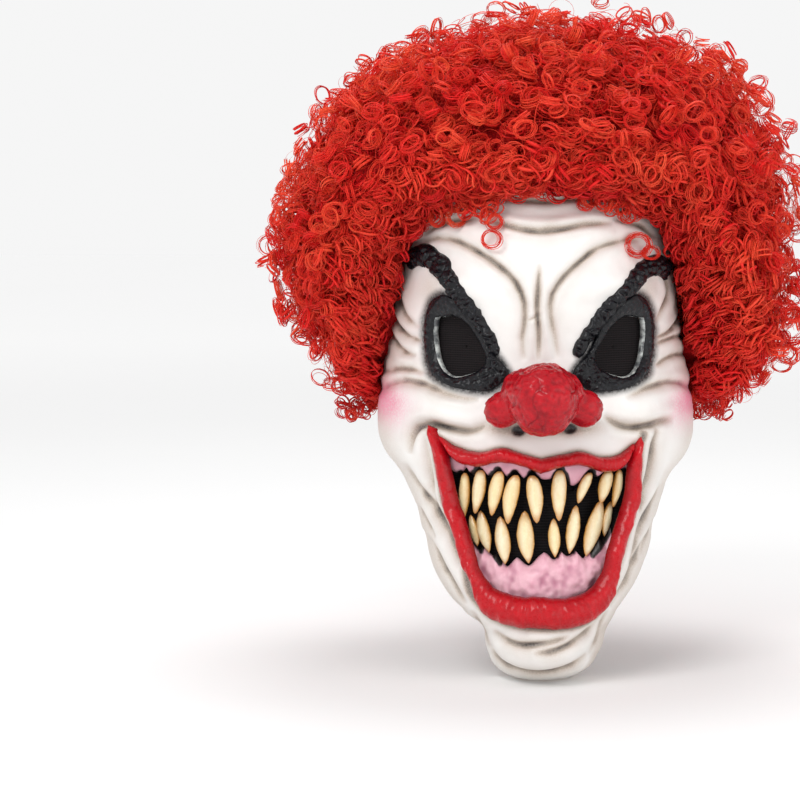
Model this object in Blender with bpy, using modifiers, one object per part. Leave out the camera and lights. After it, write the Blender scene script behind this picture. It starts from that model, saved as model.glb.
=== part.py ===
"""Clown fright mask: a latex face with a curly afro wig on a net cap, worn over the whole head.

Metres, +Z up. The origin is the centre of the wearer's head at eye level. The mask faces -Y, and +X is
the side on the right of someone looking at the mask.
"""
import math

import bmesh
import bpy
import numpy as np

MM = 0.001

# ---- driving dimensions -------------------------------------------------------------------------------
GAP = 0.7 * MM                # room left between pieces that touch
WALL = 2.5 * MM               # latex thickness
SECTION_POWER = 2.15          # roundness of the face's level sections (2 is an ellipse)

# Level sections of the face, top to chin: height, half width, front depth, rear edge
FACE_SECTIONS = [
    (100.0, 66.0, 75.0, 0.0),
    (82.0, 74.0, 87.0, 0.0),
    (58.0, 80.0, 97.0, 0.0),
    (30.0, 84.5, 101.0, 2.0),
    (0.0, 88.5, 99.0, 5.0),
    (-30.0, 94.0, 101.0, 5.0),
    (-48.0, 96.0, 102.5, 1.0),
    (-62.0, 94.5, 104.5, -6.0),
    (-70.0, 90.5, 105.5, -11.0),
    (-80.0, 81.5, 107.0, -18.5),
    (-92.0, 75.0, 108.5, -29.0),
    (-105.0, 70.0, 110.0, -40.0),
    (-122.0, 65.0, 112.0, -50.0),
    (-138.0, 59.0, 113.0, -56.0),
    (-152.0, 50.0, 114.0, -61.0),
    (-160.0, 43.5, 114.0, -64.0),
    (-167.0, 37.5, 113.5, -66.0),
    (-180.0, 33.0, 110.0, -68.0),
    (-191.0, 26.0, 99.0, -70.0),
    (-196.0, 18.5, 88.0, -71.0),
]
CHIN_LEAN = 3.3               # the chin hangs this far to the wearer's left
CHIN_LEAN_FROM, CHIN_LEAN_TO = -150.0, -172.0

# Broad swellings and hollows of the face: |x|, height, spread across, spread up, rise (all mm)
FACE_BUMPS = [
    (60.0, -36.0, 18.0, 16.0, 6.0),     # cheeks
    (42.0, 36.0, 20.0, 9.0, 4.0),       # brow ridges
    (44.0, 0.0, 17.0, 20.0, -4.0),      # eye sockets
    (0.0, 12.0, 9.0, 18.0, 2.0),        # bridge
    (0.0, 68.0, 40.0, 7.0, 3.5),        # forehead roll
    (0.0, -178.0, 22.0, 12.0, 5.0),     # chin
]

EYE_CENTRE = (-46.8, -0.5)
EYE_OUTLINE = [               # round the left eye hole from its centre, +x towards the nose
    (-11.1, 15.4), (-5.8, 17.0), (-0.5, 15.6), (4.2, 11.2), (9.0, 4.1), (14.0, -4.2), (13.7, -10.1),
    (8.4, -14.8), (1.3, -17.2), (-5.8, -14.8), (-10.0, -8.9), (-12.3, 0.5), (-12.7, 8.9),
]
TO_BROW = (0.87, 0.49)        # from the left eye hole towards its brow
TO_CORNER = (0.85, -0.53)     # from the left eye hole towards its inner corner, where the rim is a wedge
RIM_WIDTH = 7.5               # on the outer and lower sides
RIM_WIDTH_AT_BROW = 3.6
RIM_WEDGE = 4.0               # extra width at the inner corner
RIM_RISE = 3.5
EYE_MESH_LAP = 3.5            # how far the eye mesh reaches past the hole
EYE_MESH_THICKNESS = 0.8
EYE_CUT_MARGIN = 0.8          # the hole in the skin is this much larger than the rim's

BROW_LINE = [(-73.0, 42.5), (-69.5, 52.0), (-61.0, 51.0), (-51.0, 41.0), (-40.5, 26.0), (-31.3, 10.9),
             (-20.0, -5.0)]
BROW_WIDTH = 9.0
BROW_RISE = 4.0

# Mouth: half outlines from the corner down to the middle of the lower lip
LIP_INNER = [(58.0, -54.0), (54.0, -64.0), (51.5, -76.0), (48.0, -91.0), (43.0, -105.0), (38.5, -119.0),
             (35.0, -132.0), (28.0, -140.5), (16.0, -144.5), (0.0, -145.0)]
LIP_OUTER = [(61.5, -50.0), (60.5, -63.0), (57.5, -80.0), (54.0, -96.0), (48.5, -112.0), (43.5, -130.0),
             (39.0, -147.0), (28.0, -157.5), (15.0, -162.0), (0.0, -163.0)]
UPPER_LIP_TOP = [(0.0, -64.0), (12.0, -61.0), (22.0, -58.8), (35.0, -62.0), (51.0, -58.5)]
UPPER_LIP_BOTTOM = [(0.0, -71.5), (13.0, -67.0), (25.0, -66.5), (37.0, -69.5), (48.0, -67.0)]
MOUTH_TILT = 0.04             # the left corner sits higher than the right one
LIP_RISE = 7.5
BACKING_LAP = 7.0             # how far the black lining reaches past the hole in the skin
BACKING_SEAT = -16.5          # its inner face, behind the outer face of the skin
BACKING_THICKNESS = 1.2
LIP_LAP = 3.0                 # how far the lips reach in over the cut edge of the skin

# Teeth: x at the root, root height, tip height, width, sideways lean of the tip
UPPER_TEETH = [
    (-46.2, -75.0, -102.1, 5.8, -1.9), (-36.4, -72.1, -97.6, 7.5, -4.1), (-24.8, -72.2, -98.1, 8.3, -5.3),
    (-15.1, -74.0, -102.4, 9.1, -5.0), (-5.0, -74.1, -101.6, 9.4, 2.6), (11.6, -71.2, -100.4, 9.0, -0.2),
    (30.2, -73.2, -90.6, 6.8, -6.7), (42.0, -73.0, -91.3, 7.4, -3.9), (49.0, -73.3, -94.3, 4.6, -3.2),
]
LOWER_TEETH = [
    (-41.8, -116.8, -98.9, 5.4, -4.3), (-34.1, -120.0, -95.8, 8.0, -5.2), (-23.2, -126.4, -98.3, 9.8, -3.1),
    (-7.5, -125.2, -94.6, 10.8, -2.4), (9.7, -121.6, -99.0, 7.6, -1.2), (19.2, -119.6, -91.7, 8.6, 4.2),
    (30.8, -122.1, -89.9, 10.5, 9.7), (43.7, -111.1, -91.3, 5.2, 4.0),
]
TOOTH_DEPTH = 4.0
UPPER_TOOTH_SEAT = -5.0       # middle of the upper row, behind the outer face of the skin
LOWER_TOOTH_SEAT = -9.6
GUM_CLEARANCE = 0.6
UPPER_GUM_TOP = -59.0
LOWER_GUM_BASE = -149.0
LOWER_GUM_TAPER = 0.8         # its base is this share of the width of its crest

NOSE_CENTRE = (0.0, -119.0, -33.0)
NOSE_BALLS = [                # bulb, shoulders and side lobes: centre, radius
    ((0.5, -129.5, -29.5), 20.5),
    ((-12.5, -121.0, -25.0), 12.0),
    ((13.5, -121.0, -25.5), 11.5),
    ((-24.0, -112.0, -36.5), 11.5),
    ((25.0, -112.0, -37.0), 11.5),
]
NOSE_SMOOTHED = -118.0        # the nose is smoothed ahead of this y

CAP_CENTRE = (0.0, 5.0, 10.0)
CAP_RADII = (88.0, 104.0, 118.0)
CAP_POWER = 2.5
CAP_THICKNESS = 1.2
CAP_FRONT_EDGE = 103.0        # height of the cap's edge above the forehead
CAP_NAPE_EDGE = -45.0
EAR_CUT = (95.0, 110.0)       # degrees round from the front where the cap's edge drops to the nape
TAPE_THICKNESS = 1.2
HAIRLINE_TAPE = (90.0, 109.0)            # lowest and highest edge
HAIRLINE_TAPE_INSET = -9.0               # inside the cap's outer face
NAPE_ELASTIC = (-57.0, CAP_NAPE_EDGE - 1.5)
NAPE_ELASTIC_INSET = -1.2

HAIR_CENTRE = (0.0, 8.0, 20.0)
HAIR_CLEARANCE = 3.0          # between the hair's root side and the cap or the skin
HAIR_SPLIT = 0.35             # degrees left between neighbouring blocks of hair
HAIR_STATION = 15.0           # degrees between the upright edges of the hair blocks
CROWN_TOP = 84.0              # elevation of the crown's last ring
# Outer radius of the afro from its centre: elevation in degrees, at the sides, over the face, at the back
HAIR_REACH = [
    (-36.0, 122.0, 130.0, 136.0), (-20.0, 134.0, 138.0, 147.0), (-5.0, 148.0, 141.0, 156.0),
    (10.0, 158.0, 144.0, 163.0), (30.0, 168.0, 151.0, 170.0), (50.0, 173.0, 168.0, 174.0),
    (70.0, 177.0, 176.0, 177.0), (90.0, 179.0, 179.0, 179.0),
]


# ---- small helpers ------------------------------------------------------------------------------------
def smooth_curve(at, xs, ys):
    """Cubic through the points (xs, ys), read at the values `at`."""
    xs, ys = np.asarray(xs, float), np.asarray(ys, float)
    if xs[0] > xs[-1]:
        xs, ys = xs[::-1], ys[::-1]
    slopes = np.gradient(ys, xs)
    at = np.clip(at, xs[0], xs[-1])
    i = np.clip(np.searchsorted(xs, at) - 1, 0, len(xs) - 2)
    h = xs[i + 1] - xs[i]
    t = (at - xs[i]) / h
    return ((2 * t**3 - 3 * t**2 + 1) * ys[i] + (t**3 - 2 * t**2 + t) * h * slopes[i]
            + (-2 * t**3 + 3 * t**2) * ys[i + 1] + (t**3 - t**2) * h * slopes[i + 1])


def resample(points, count, closed=False):
    """`count` points spaced evenly along a smooth curve through the given ones."""
    pts = np.array(points, float)
    if closed:
        pts = np.vstack([pts[-2:], pts, pts[:3]])
    run = np.r_[0.0, np.cumsum(np.linalg.norm(np.diff(pts, axis=0), axis=1))]
    first, last = (run[2], run[-3]) if closed else (run[0], run[-1])
    at = np.linspace(first, last, count, endpoint=not closed)
    return np.column_stack([smooth_curve(at, run, pts[:, k]) for k in range(pts.shape[1])])


def outward(points):
    """Unit normals pointing out of a closed flat outline."""
    ahead, behind = np.roll(points, -1, axis=0), np.roll(points, 1, axis=0)
    along = ahead - behind
    normal = np.column_stack([along[:, 1], -along[:, 0]])
    normal /= np.linalg.norm(normal, axis=1)[:, None]
    x, y = points[:, 0], points[:, 1]
    area = np.sum(x * np.roll(y, -1) - y * np.roll(x, -1))
    return normal if area > 0 else -normal


def mirrored(points):
    return [(-x, z) for x, z in points]


# ---- the face's surface -------------------------------------------------------------------------------
SECTIONS = np.array(FACE_SECTIONS)


def section(z):
    heights = SECTIONS[:, 0]
    return [smooth_curve(z, heights, SECTIONS[:, k]) for k in (1, 2, 3)]


def chin_lean(z):
    share = np.clip((CHIN_LEAN_FROM - z) / (CHIN_LEAN_FROM - CHIN_LEAN_TO), 0.0, 1.0)
    return CHIN_LEAN * share * share * (3 - 2 * share)


def bare_skin(turn, z):
    """Point of the plain face at an angle round from the front (radians) and a height, in mm."""
    half, front, rear = section(z)
    across = np.sign(np.sin(turn)) * np.abs(np.sin(turn)) ** (2 / SECTION_POWER)
    ahead = np.sign(np.cos(turn)) * np.abs(np.cos(turn)) ** (2 / SECTION_POWER)
    return np.stack([half * across + chin_lean(z), rear - (front + rear) * ahead, z + 0 * turn], axis=-1)


def relief(x, z):
    rise = 0.0
    for side, height, spread_x, spread_z, amount in FACE_BUMPS:
        for s in ((-1, 1) if side else (1,)):
            rise = rise + amount * np.exp(-((x - s * side) / spread_x) ** 2 - ((z - height) / spread_z) ** 2)
    return rise


def skin_at_turn(turn, z, offset=0.0):
    turn_step, z_step = 1e-3, 0.5
    point = bare_skin(turn, z)
    across = bare_skin(turn + turn_step, z) - bare_skin(turn - turn_step, z)
    up = bare_skin(turn, z + z_step) - bare_skin(turn, z - z_step)
    normal = np.cross(across, up)
    normal /= np.linalg.norm(normal, axis=-1)[..., None]
    return point + normal * np.asarray(relief(point[..., 0], z) + offset)[..., None]


def skin(x, z, offset=0.0):
    """Point over the face at x, z, `offset` mm out of its surface."""
    x, z = np.asarray(x, float), np.asarray(z, float)
    aside = x - chin_lean(z)
    ratio = np.clip(np.abs(aside) / section(z)[0], 0.0, 0.995)
    turn = np.sign(aside) * np.arcsin(ratio ** (SECTION_POWER / 2))
    return skin_at_turn(turn, z, offset)


# ---- solids -------------------------------------------------------------------------------------------
def new_collection(name):
    collection = bpy.data.collections.new(name)
    bpy.context.scene.collection.children.link(collection)
    return collection


def material(name, colour, roughness):
    mat = bpy.data.materials.get(name)
    if mat is None:
        mat = bpy.data.materials.new(name)
        mat.use_nodes = True
        shader = mat.node_tree.nodes["Principled BSDF"]
        shader.inputs["Base Color"].default_value = (*colour, 1.0)
        shader.inputs["Roughness"].default_value = roughness
        shader.inputs["Metallic"].default_value = 0.0
    return mat


def add_object(name, bm, mat, collection):
    bmesh.ops.recalc_face_normals(bm, faces=bm.faces)
    mesh = bpy.data.meshes.new(name)
    bm.to_mesh(mesh)
    bm.free()
    obj = bpy.data.objects.new(name, mesh)
    if mat:
        mesh.materials.append(mat)
        mesh.shade_smooth()
    collection.objects.link(obj)
    return obj


def loft(name, rings, mat, collection, ring_closed=True, path_closed=False):
    """Skin over a row of point rings in mm: a closed solid, or a sheet if the rings are open."""
    bm = bmesh.new()
    rows = [[bm.verts.new(np.asarray(p) * MM) for p in ring] for ring in rings]
    pairs = list(zip(rows, rows[1:]))
    if path_closed:
        pairs.append((rows[-1], rows[0]))
    for a, b in pairs:
        count = len(a) if ring_closed else len(a) - 1
        for i in range(count):
            j = (i + 1) % len(a)
            bm.faces.new((a[i], a[j], b[j], b[i]))
    if ring_closed and not path_closed:
        for end in (rows[0], rows[-1]):
            count = len(end)
            for i in range(count // 2 - 1):
                bm.faces.new((end[i], end[i + 1], end[count - 2 - i], end[count - 1 - i]))
    return add_object(name, bm, mat, collection)


def raised_band(name, edge_a, edge_b, back, rise, mat, collection, path_closed=False, steps=5):
    """Rounded strip lying on the face between two edges."""
    across = np.linspace(0.0, 1.0, steps)
    profile = np.maximum(np.sin(math.pi * across) ** 0.7, 0.18)
    rises = np.broadcast_to(rise, len(edge_a))
    rings = []
    for a, b, top in zip(edge_a, edge_b, rises):
        line = a + (b - a) * across[:, None]
        under = skin(line[:, 0], line[:, 1], back)
        over = skin(line[:, 0], line[:, 1], back + top * profile)
        rings.append(np.vstack([under, over[::-1]]))
    return loft(name, rings, mat, collection, path_closed=path_closed)


def plate(name, outline, back, thickness, mat, collection):
    """Thin sheet that follows the face inside a closed outline."""
    middle = outline.mean(axis=0)
    bm = bmesh.new()
    layers = []
    for offset in (back, back + thickness):
        centre = bm.verts.new(skin(*middle, offset) * MM)
        loops = []
        for scale in (0.35, 0.7, 1.0):
            line = middle + (outline - middle) * scale
            loops.append([bm.verts.new(p * MM) for p in skin(line[:, 0], line[:, 1], offset)])
        count = len(outline)
        for i in range(count):
            j = (i + 1) % count
            bm.faces.new((centre, loops[0][i], loops[0][j]))
            for inner, outer in zip(loops, loops[1:]):
                bm.faces.new((inner[i], outer[i], outer[j], inner[j]))
        layers.append(loops[-1])
    for i in range(len(outline)):
        j = (i + 1) % len(outline)
        bm.faces.new((layers[0][i], layers[0][j], layers[1][j], layers[1][i]))
    return add_object(name, bm, mat, collection)


def cut(target, name, outline, collection):
    """Cut a hole with the given outline straight through the front of the skin."""
    rings = [np.column_stack([outline[:, 0], np.full(len(outline), y), outline[:, 1]]) for y in (-175.0, -25.0)]
    cutter = loft(name, rings, None, collection)
    cutter.hide_render = True
    cutter.display_type = "WIRE"
    boolean = target.modifiers.new(name, "BOOLEAN")
    boolean.operation = "DIFFERENCE"
    boolean.solver = "EXACT"
    boolean.object = cutter


# ---- pieces of the face -------------------------------------------------------------------------------
def eye_outline(side, count):
    """Eye hole outline in face coordinates; side -1 is the left eye."""
    line = resample(EYE_OUTLINE, count, closed=True)
    x = EYE_CENTRE[0] + line[:, 0]
    return np.column_stack([-side * x, EYE_CENTRE[1] + line[:, 1]])


def tilt(points):
    points = np.array(points, float)
    points[:, 1] -= MOUTH_TILT * points[:, 0]
    return points


def lip_edge(half, count):
    """A whole lip edge from the right corner round to the left, from its half outline."""
    return tilt(resample(half + mirrored(half[:-1])[::-1], count))


def mouth_hole(count):
    """Where the skin is cut for the mouth, a little outside the visible opening."""
    top = [(40.0, -61.5), (20.0, -59.0), (0.0, -63.5), (-20.0, -59.0), (-40.0, -61.5)]
    sides = LIP_INNER + mirrored(LIP_INNER[:-1])[::-1]
    outline = resample(sides + top[::-1], count, closed=True)
    grown = outline + outward(outline) * LIP_LAP
    grown[:, 1] = np.minimum(grown[:, 1], -58.0)
    return tilt(grown)


def build_face_skin(parts, cutters):
    turns = np.linspace(-math.pi / 2, math.pi / 2, 35)
    heights = np.concatenate([np.linspace(100.0, -180.0, 29), [-186.0, -191.0, -196.0]])
    rows = [skin_at_turn(turns, np.full_like(turns, z)) for z in heights]
    face = loft("face_skin", rows, material("white_latex", (0.86, 0.84, 0.82), 0.5), parts, ring_closed=False)
    if face.data.polygons[len(face.data.polygons) // 2].normal.y > 0:
        face.data.flip_normals()
    solidify = face.modifiers.new("latex", "SOLIDIFY")
    solidify.thickness = WALL
    solidify.offset = -1.0
    for side, word in ((-1, "left"), (1, "right")):
        outline = eye_outline(side, 28)
        cut(face, f"{word}_eye_cut", outline + outward(outline) * EYE_CUT_MARGIN, cutters)
    cut(face, "mouth_cut", mouth_hole(48), cutters)


def build_nose(parts):
    """Lumpy bulb with side lobes, its back shaped to the face."""
    bm = bmesh.new()
    bmesh.ops.create_icosphere(bm, subdivisions=3, radius=1.0)
    centre = np.array(NOSE_CENTRE)
    reach = np.arange(2.0, 45.0, 0.1)
    for vert in bm.verts:
        ray = np.array(vert.co)
        path = centre + ray * reach[:, None]
        in_ball = np.zeros(len(reach), bool)
        for middle, radius in NOSE_BALLS:
            in_ball |= np.linalg.norm(path - np.array(middle), axis=1) < radius
        clear = path[:, 1] < skin(path[:, 0], path[:, 2])[:, 1] - 1.5 * GAP / MM
        blocked = ~(in_ball & clear)
        last = reach[np.argmax(blocked)] if blocked.any() else reach[-1]
        vert.co = (centre + ray * last) * MM
    ahead = [v for v in bm.verts if v.co.y < NOSE_SMOOTHED * MM]
    bmesh.ops.smooth_vert(bm, verts=ahead, factor=0.5, use_axis_x=True, use_axis_y=True, use_axis_z=True)
    add_object("nose", bm, material("red_gloss", (0.55, 0.02, 0.03), 0.25), parts)


def build_lips(parts):
    red = material("lip_red", (0.50, 0.02, 0.03), 0.25)
    back = GAP / MM
    inner, outer = lip_edge(LIP_INNER, 33), lip_edge(LIP_OUTER, 33)
    raised_band("lower_lip", inner, outer, back, LIP_RISE, red, parts)
    reach = np.linspace(-1.0, 1.0, 21)
    top = np.array(UPPER_LIP_TOP)
    bottom = np.array(UPPER_LIP_BOTTOM)
    top_x, bottom_x = reach * top[-1, 0], reach * bottom[-1, 0]
    top_line = np.column_stack([top_x, smooth_curve(np.abs(top_x), top[:, 0], top[:, 1])])
    bottom_line = np.column_stack([bottom_x, smooth_curve(np.abs(bottom_x), bottom[:, 0], bottom[:, 1])])
    raised_band("upper_lip", tilt(bottom_line), tilt(top_line), back, LIP_RISE, red, parts)


def build_brows(parts):
    black = material("black_gloss", (0.02, 0.02, 0.022), 0.35)
    line = resample(BROW_LINE, 15)
    along = np.gradient(line, axis=0)
    along /= np.linalg.norm(along, axis=1)[:, None]
    side = np.column_stack([-along[:, 1], along[:, 0]])
    taper = np.sin(np.linspace(0.35, math.pi - 0.45, len(line))) ** 0.35
    half = (BROW_WIDTH / 2 * taper)[:, None]
    for sign, word in ((1, "left"), (-1, "right")):
        flip = np.array([sign, 1])
        raised_band(f"{word}_brow", (line + side * half) * flip, (line - side * half) * flip, GAP / MM,
                    BROW_RISE * taper, black, parts)


def build_eyes(parts):
    black = material("black_gloss", (0.02, 0.02, 0.022), 0.35)
    cloth = material("black_mesh", (0.015, 0.015, 0.015), 0.8)
    count = 26
    for side, word in ((-1, "left"), (1, "right")):
        hole = eye_outline(side, count)
        normal = outward(hole)
        to_brow = normal @ np.array([-side * TO_BROW[0], TO_BROW[1]])
        to_corner = normal @ np.array([-side * TO_CORNER[0], TO_CORNER[1]])
        width = RIM_WIDTH + (RIM_WIDTH_AT_BROW - RIM_WIDTH) * np.clip((to_brow - 0.1) / 0.5, 0.0, 1.0)
        width = width + RIM_WEDGE * np.exp(-(((1 - to_corner) / 0.15) ** 2))
        raised_band(f"{word}_eye_rim", hole, hole + normal * width[:, None], GAP / MM, RIM_RISE, black, parts,
                    path_closed=True)
        seat = -(WALL + GAP) / MM - 1.2
        plate(f"{word}_eye_mesh", hole + normal * EYE_MESH_LAP, seat, EYE_MESH_THICKNESS, cloth, parts)


def build_teeth(parts):
    ivory = material("tooth_ivory", (0.80, 0.62, 0.30), 0.3)
    around = np.linspace(0.0, 2 * math.pi, 8, endpoint=False)
    along = np.array([0.0, 0.2, 0.45, 0.7, 0.88, 1.0])
    fullness = np.array([0.62, 0.9, 1.0, 0.8, 0.48, 0.16])
    for word, row, seat in (("upper", UPPER_TEETH, UPPER_TOOTH_SEAT), ("lower", LOWER_TEETH, LOWER_TOOTH_SEAT)):
        for number, (x, root, tip, width, lean) in enumerate(row, 1):
            rings = []
            for s, full in zip(along, fullness):
                ring_x = x + lean * s + width / 2 * full * np.cos(around)
                height = np.full_like(ring_x, root + (tip - root) * s)
                rings.append(skin(ring_x, height, seat + TOOTH_DEPTH / 2 * full * np.sin(around)))
            loft(f"{word}_tooth_{number}", rings, ivory, parts)


def build_gums(parts):
    pink = material("gum_pink", (0.75, 0.33, 0.38), 0.35)
    x = np.linspace(-52.0, 52.0, 15)
    upper_roots = np.full_like(x, max(t[1] for t in UPPER_TEETH) + GUM_CLEARANCE)
    top = np.column_stack([x, np.full_like(x, UPPER_GUM_TOP)])
    bottom = np.column_stack([x, upper_roots])
    raised_band("upper_gum", bottom, top, -8.0, 4.6, pink, parts)
    lower_x = np.linspace(-44.0, 46.0, 15)
    roots = np.array([(t[0], t[1]) for t in LOWER_TEETH])
    crest = np.interp(lower_x, roots[:, 0], roots[:, 1])
    lowest = np.minimum(np.minimum(np.roll(crest, 1), np.roll(crest, -1)), crest)
    lowest[0], lowest[-1] = min(crest[:2]), min(crest[-2:])
    crest_line = np.column_stack([lower_x, lowest - GUM_CLEARANCE - 1.0])
    base_line = np.column_stack([lower_x * LOWER_GUM_TAPER, LOWER_GUM_BASE + 0.004 * lower_x**2])
    raised_band("lower_gum", crest_line, base_line, -13.0, 8.5, pink, parts)


def build_mouth_backing(parts):
    outline = mouth_hole(32)
    outline = outline + outward(outline) * BACKING_LAP
    cloth = material("black_cloth", (0.01, 0.01, 0.01), 0.9)
    plate("mouth_backing", outline, BACKING_SEAT, BACKING_THICKNESS, cloth, parts)


# ---- cap and hair -------------------------------------------------------------------------------------
def directions(turn, rise):
    """Unit vectors from an angle round from the front and an elevation, both in degrees."""
    turn, rise = np.radians(turn), np.radians(rise)
    return np.stack([np.sin(turn) * np.cos(rise), -np.cos(turn) * np.cos(rise), np.sin(rise) + 0 * turn], axis=-1)


def cap_point(turn, rise, grow=0.0):
    ray = directions(turn, rise)
    radii = np.array(CAP_RADII) + grow
    length = np.sum(np.abs(ray / radii) ** CAP_POWER, axis=-1) ** (-1 / CAP_POWER)
    return np.array(CAP_CENTRE) + ray * length[..., None]


def rise_at_height(turn, height, grow=0.0):
    """Elevation at which the cap reaches a height."""
    angles = np.linspace(-60.0, 89.0, 1500)
    heights = cap_point(np.full_like(angles, turn), angles, grow)[:, 2]
    return np.interp(height, heights, angles)


def cap_edge_height(turn):
    round_from_front = abs((turn + 180.0) % 360.0 - 180.0)
    drop = np.clip((round_from_front - EAR_CUT[0]) / (EAR_CUT[1] - EAR_CUT[0]), 0.0, 1.0)
    drop = drop * drop * (3 - 2 * drop)
    return CAP_FRONT_EDGE + (CAP_NAPE_EDGE - CAP_FRONT_EDGE) * drop


def build_cap(parts):
    turns = np.linspace(0.0, 360.0, 40, endpoint=False)
    share = np.linspace(0.0, 1.0, 9)[:-1]
    bm = bmesh.new()
    columns = []
    for turn in turns:
        low = rise_at_height(turn, cap_edge_height(turn))
        rises = low + (90.0 - low) * share
        columns.append([bm.verts.new(p * MM) for p in cap_point(np.full_like(rises, turn), rises)])
    top = bm.verts.new(cap_point(np.array([0.0]), np.array([90.0]))[0] * MM)
    for a, b in zip(columns, columns[1:] + columns[:1]):
        for i in range(len(a) - 1):
            bm.faces.new((a[i], b[i], b[i + 1], a[i + 1]))
        bm.faces.new((a[-1], b[-1], top))
    cap = add_object("wig_cap", bm, material("cap_net", (0.10, 0.02, 0.02), 0.9), parts)
    highest = max(cap.data.polygons, key=lambda face: face.center.z)
    if highest.normal.z < 0:
        cap.data.flip_normals()
    solidify = cap.modifiers.new("net", "SOLIDIFY")
    solidify.thickness = CAP_THICKNESS * MM
    solidify.offset = -1.0


def ribbon(name, turns, edges, grow, mat, parts):
    """Flat tape that follows the cap between two heights."""
    low, high = edges
    rings = []
    for turn in turns:
        corners = []
        for height, extra in ((low, 0.0), (high, 0.0), (high, TAPE_THICKNESS), (low, TAPE_THICKNESS)):
            rise = rise_at_height(turn, height, grow + extra)
            corners.append(cap_point(np.array(turn), np.array(rise), grow + extra))
        rings.append(np.array(corners))
    loft(name, rings, mat, parts)


def build_tapes(parts):
    tape = material("black_tape", (0.02, 0.02, 0.02), 0.8)
    ribbon("hairline_tape", np.linspace(-92.0, 92.0, 25), HAIRLINE_TAPE, HAIRLINE_TAPE_INSET, tape, parts)
    ribbon("nape_elastic", np.linspace(112.0, 248.0, 17), NAPE_ELASTIC, NAPE_ELASTIC_INSET, tape, parts)


def root_radius(turn, rise):
    """Distance from the hair's centre to just outside the cap and the skin."""
    reach = np.arange(60.0, 140.0, 0.5)
    points = np.array(HAIR_CENTRE) + directions(turn, rise) * reach[:, None]
    from_cap = np.abs((points - np.array(CAP_CENTRE)) / (np.array(CAP_RADII) + HAIR_CLEARANCE))
    inside = np.sum(from_cap**CAP_POWER, axis=1) < 1.0
    z = np.clip(points[:, 2], SECTIONS[-1, 0], SECTIONS[0, 0])
    half, front, rear = section(z)
    beside = np.abs(points[:, 0]) < half + HAIR_CLEARANCE
    ahead = np.clip(1 - np.abs(points[:, 0] / (half + HAIR_CLEARANCE)) ** SECTION_POWER, 0.0, 1.0)
    face_y = rear - (front + rear + HAIR_CLEARANCE) * ahead ** (1 / SECTION_POWER)
    by_face = beside & (points[:, 1] > face_y - 5.0) & (points[:, 1] < rear + HAIR_CLEARANCE)
    inside |= by_face & (points[:, 2] < SECTIONS[0, 0] + HAIR_CLEARANCE)
    return reach[inside].max() + 0.5 if inside.any() else reach[0]


def hair_reach(turn, rise):
    table = np.array(HAIR_REACH)
    facing = math.cos(math.radians(turn))
    sides, front, back = (smooth_curve(rise, table[:, 0], table[:, k]) for k in (1, 2, 3))
    return sides + ((front if facing > 0 else back) - sides) * abs(facing) ** 1.5


def hair_block(name, turn_range, rise_range, parts):
    """One section of the wig's hair, from its roots out to the surface of the afro."""
    turns = np.arange(turn_range[0], turn_range[1] + HAIR_STATION / 2, HAIR_STATION)
    turns[[0, -1]] += [HAIR_SPLIT, -HAIR_SPLIT]
    rises = np.linspace(rise_range[0] + HAIR_SPLIT, rise_range[1] - HAIR_SPLIT, 5)
    centre = np.array(HAIR_CENTRE)
    spread = [(0, 0), (5, 0), (-5, 0), (0, 5), (0, -5)]
    rings = []
    for rise in rises:
        inner, outer = [], []
        for turn in turns:
            root = max(root_radius(turn + a, min(rise + b, 90.0)) for a, b in spread)
            ray = directions(np.array(turn), np.array(rise))
            inner.append(centre + ray * root)
            outer.append(centre + ray * hair_reach(turn, rise))
        rings.append(np.array(inner + outer[::-1]))
    loft(name, rings, material("red_hair", (0.62, 0.05, 0.02), 0.6), parts)


def hair_crown(rise_low, parts):
    """The round section of hair on top of the head."""
    turns = np.arange(0.0, 360.0, HAIR_STATION)
    rises = np.linspace(rise_low + HAIR_SPLIT, CROWN_TOP, 4)
    centre = np.array(HAIR_CENTRE)
    bm = bmesh.new()
    layers = []
    for surface in ("root", "tip"):
        rows = []
        for rise in rises:
            row = []
            for turn in turns:
                radius = root_radius(turn, rise) + 0.5 if surface == "root" else hair_reach(turn, rise)
                row.append(bm.verts.new((centre + directions(np.array(turn), np.array(rise)) * radius) * MM))
            rows.append(row)
        for a, b in zip(rows, rows[1:]):
            for i in range(len(a)):
                j = (i + 1) % len(a)
                bm.faces.new((a[i], a[j], b[j], b[i]))
        bm.faces.new(rows[-1])
        layers.append(rows[0])
    for i in range(len(turns)):
        j = (i + 1) % len(turns)
        bm.faces.new((layers[0][i], layers[0][j], layers[1][j], layers[1][i]))
    add_object("hair_crown", bm, material("red_hair", (0.62, 0.05, 0.02), 0.6), parts)


def build_hair(parts):
    crown, upper, middle, lower = 62.0, 33.0, 0.0, -34.0
    hair_crown(crown, parts)
    hair_block("hair_front_upper", (-45.0, 45.0), (upper, crown), parts)
    hair_block("hair_right_upper", (45.0, 120.0), (upper, crown), parts)
    hair_block("hair_back_upper", (120.0, 240.0), (upper, crown), parts)
    hair_block("hair_left_upper", (240.0, 315.0), (upper, crown), parts)
    hair_block("hair_right_middle", (60.0, 120.0), (middle, upper), parts)
    hair_block("hair_back_middle", (120.0, 240.0), (middle, upper), parts)
    hair_block("hair_left_middle", (240.0, 300.0), (middle, upper), parts)
    hair_block("hair_right_lower", (75.0, 120.0), (lower, middle), parts)
    hair_block("hair_back_lower", (120.0, 240.0), (lower, middle), parts)
    hair_block("hair_left_lower", (240.0, 285.0), (lower, middle), parts)


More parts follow.
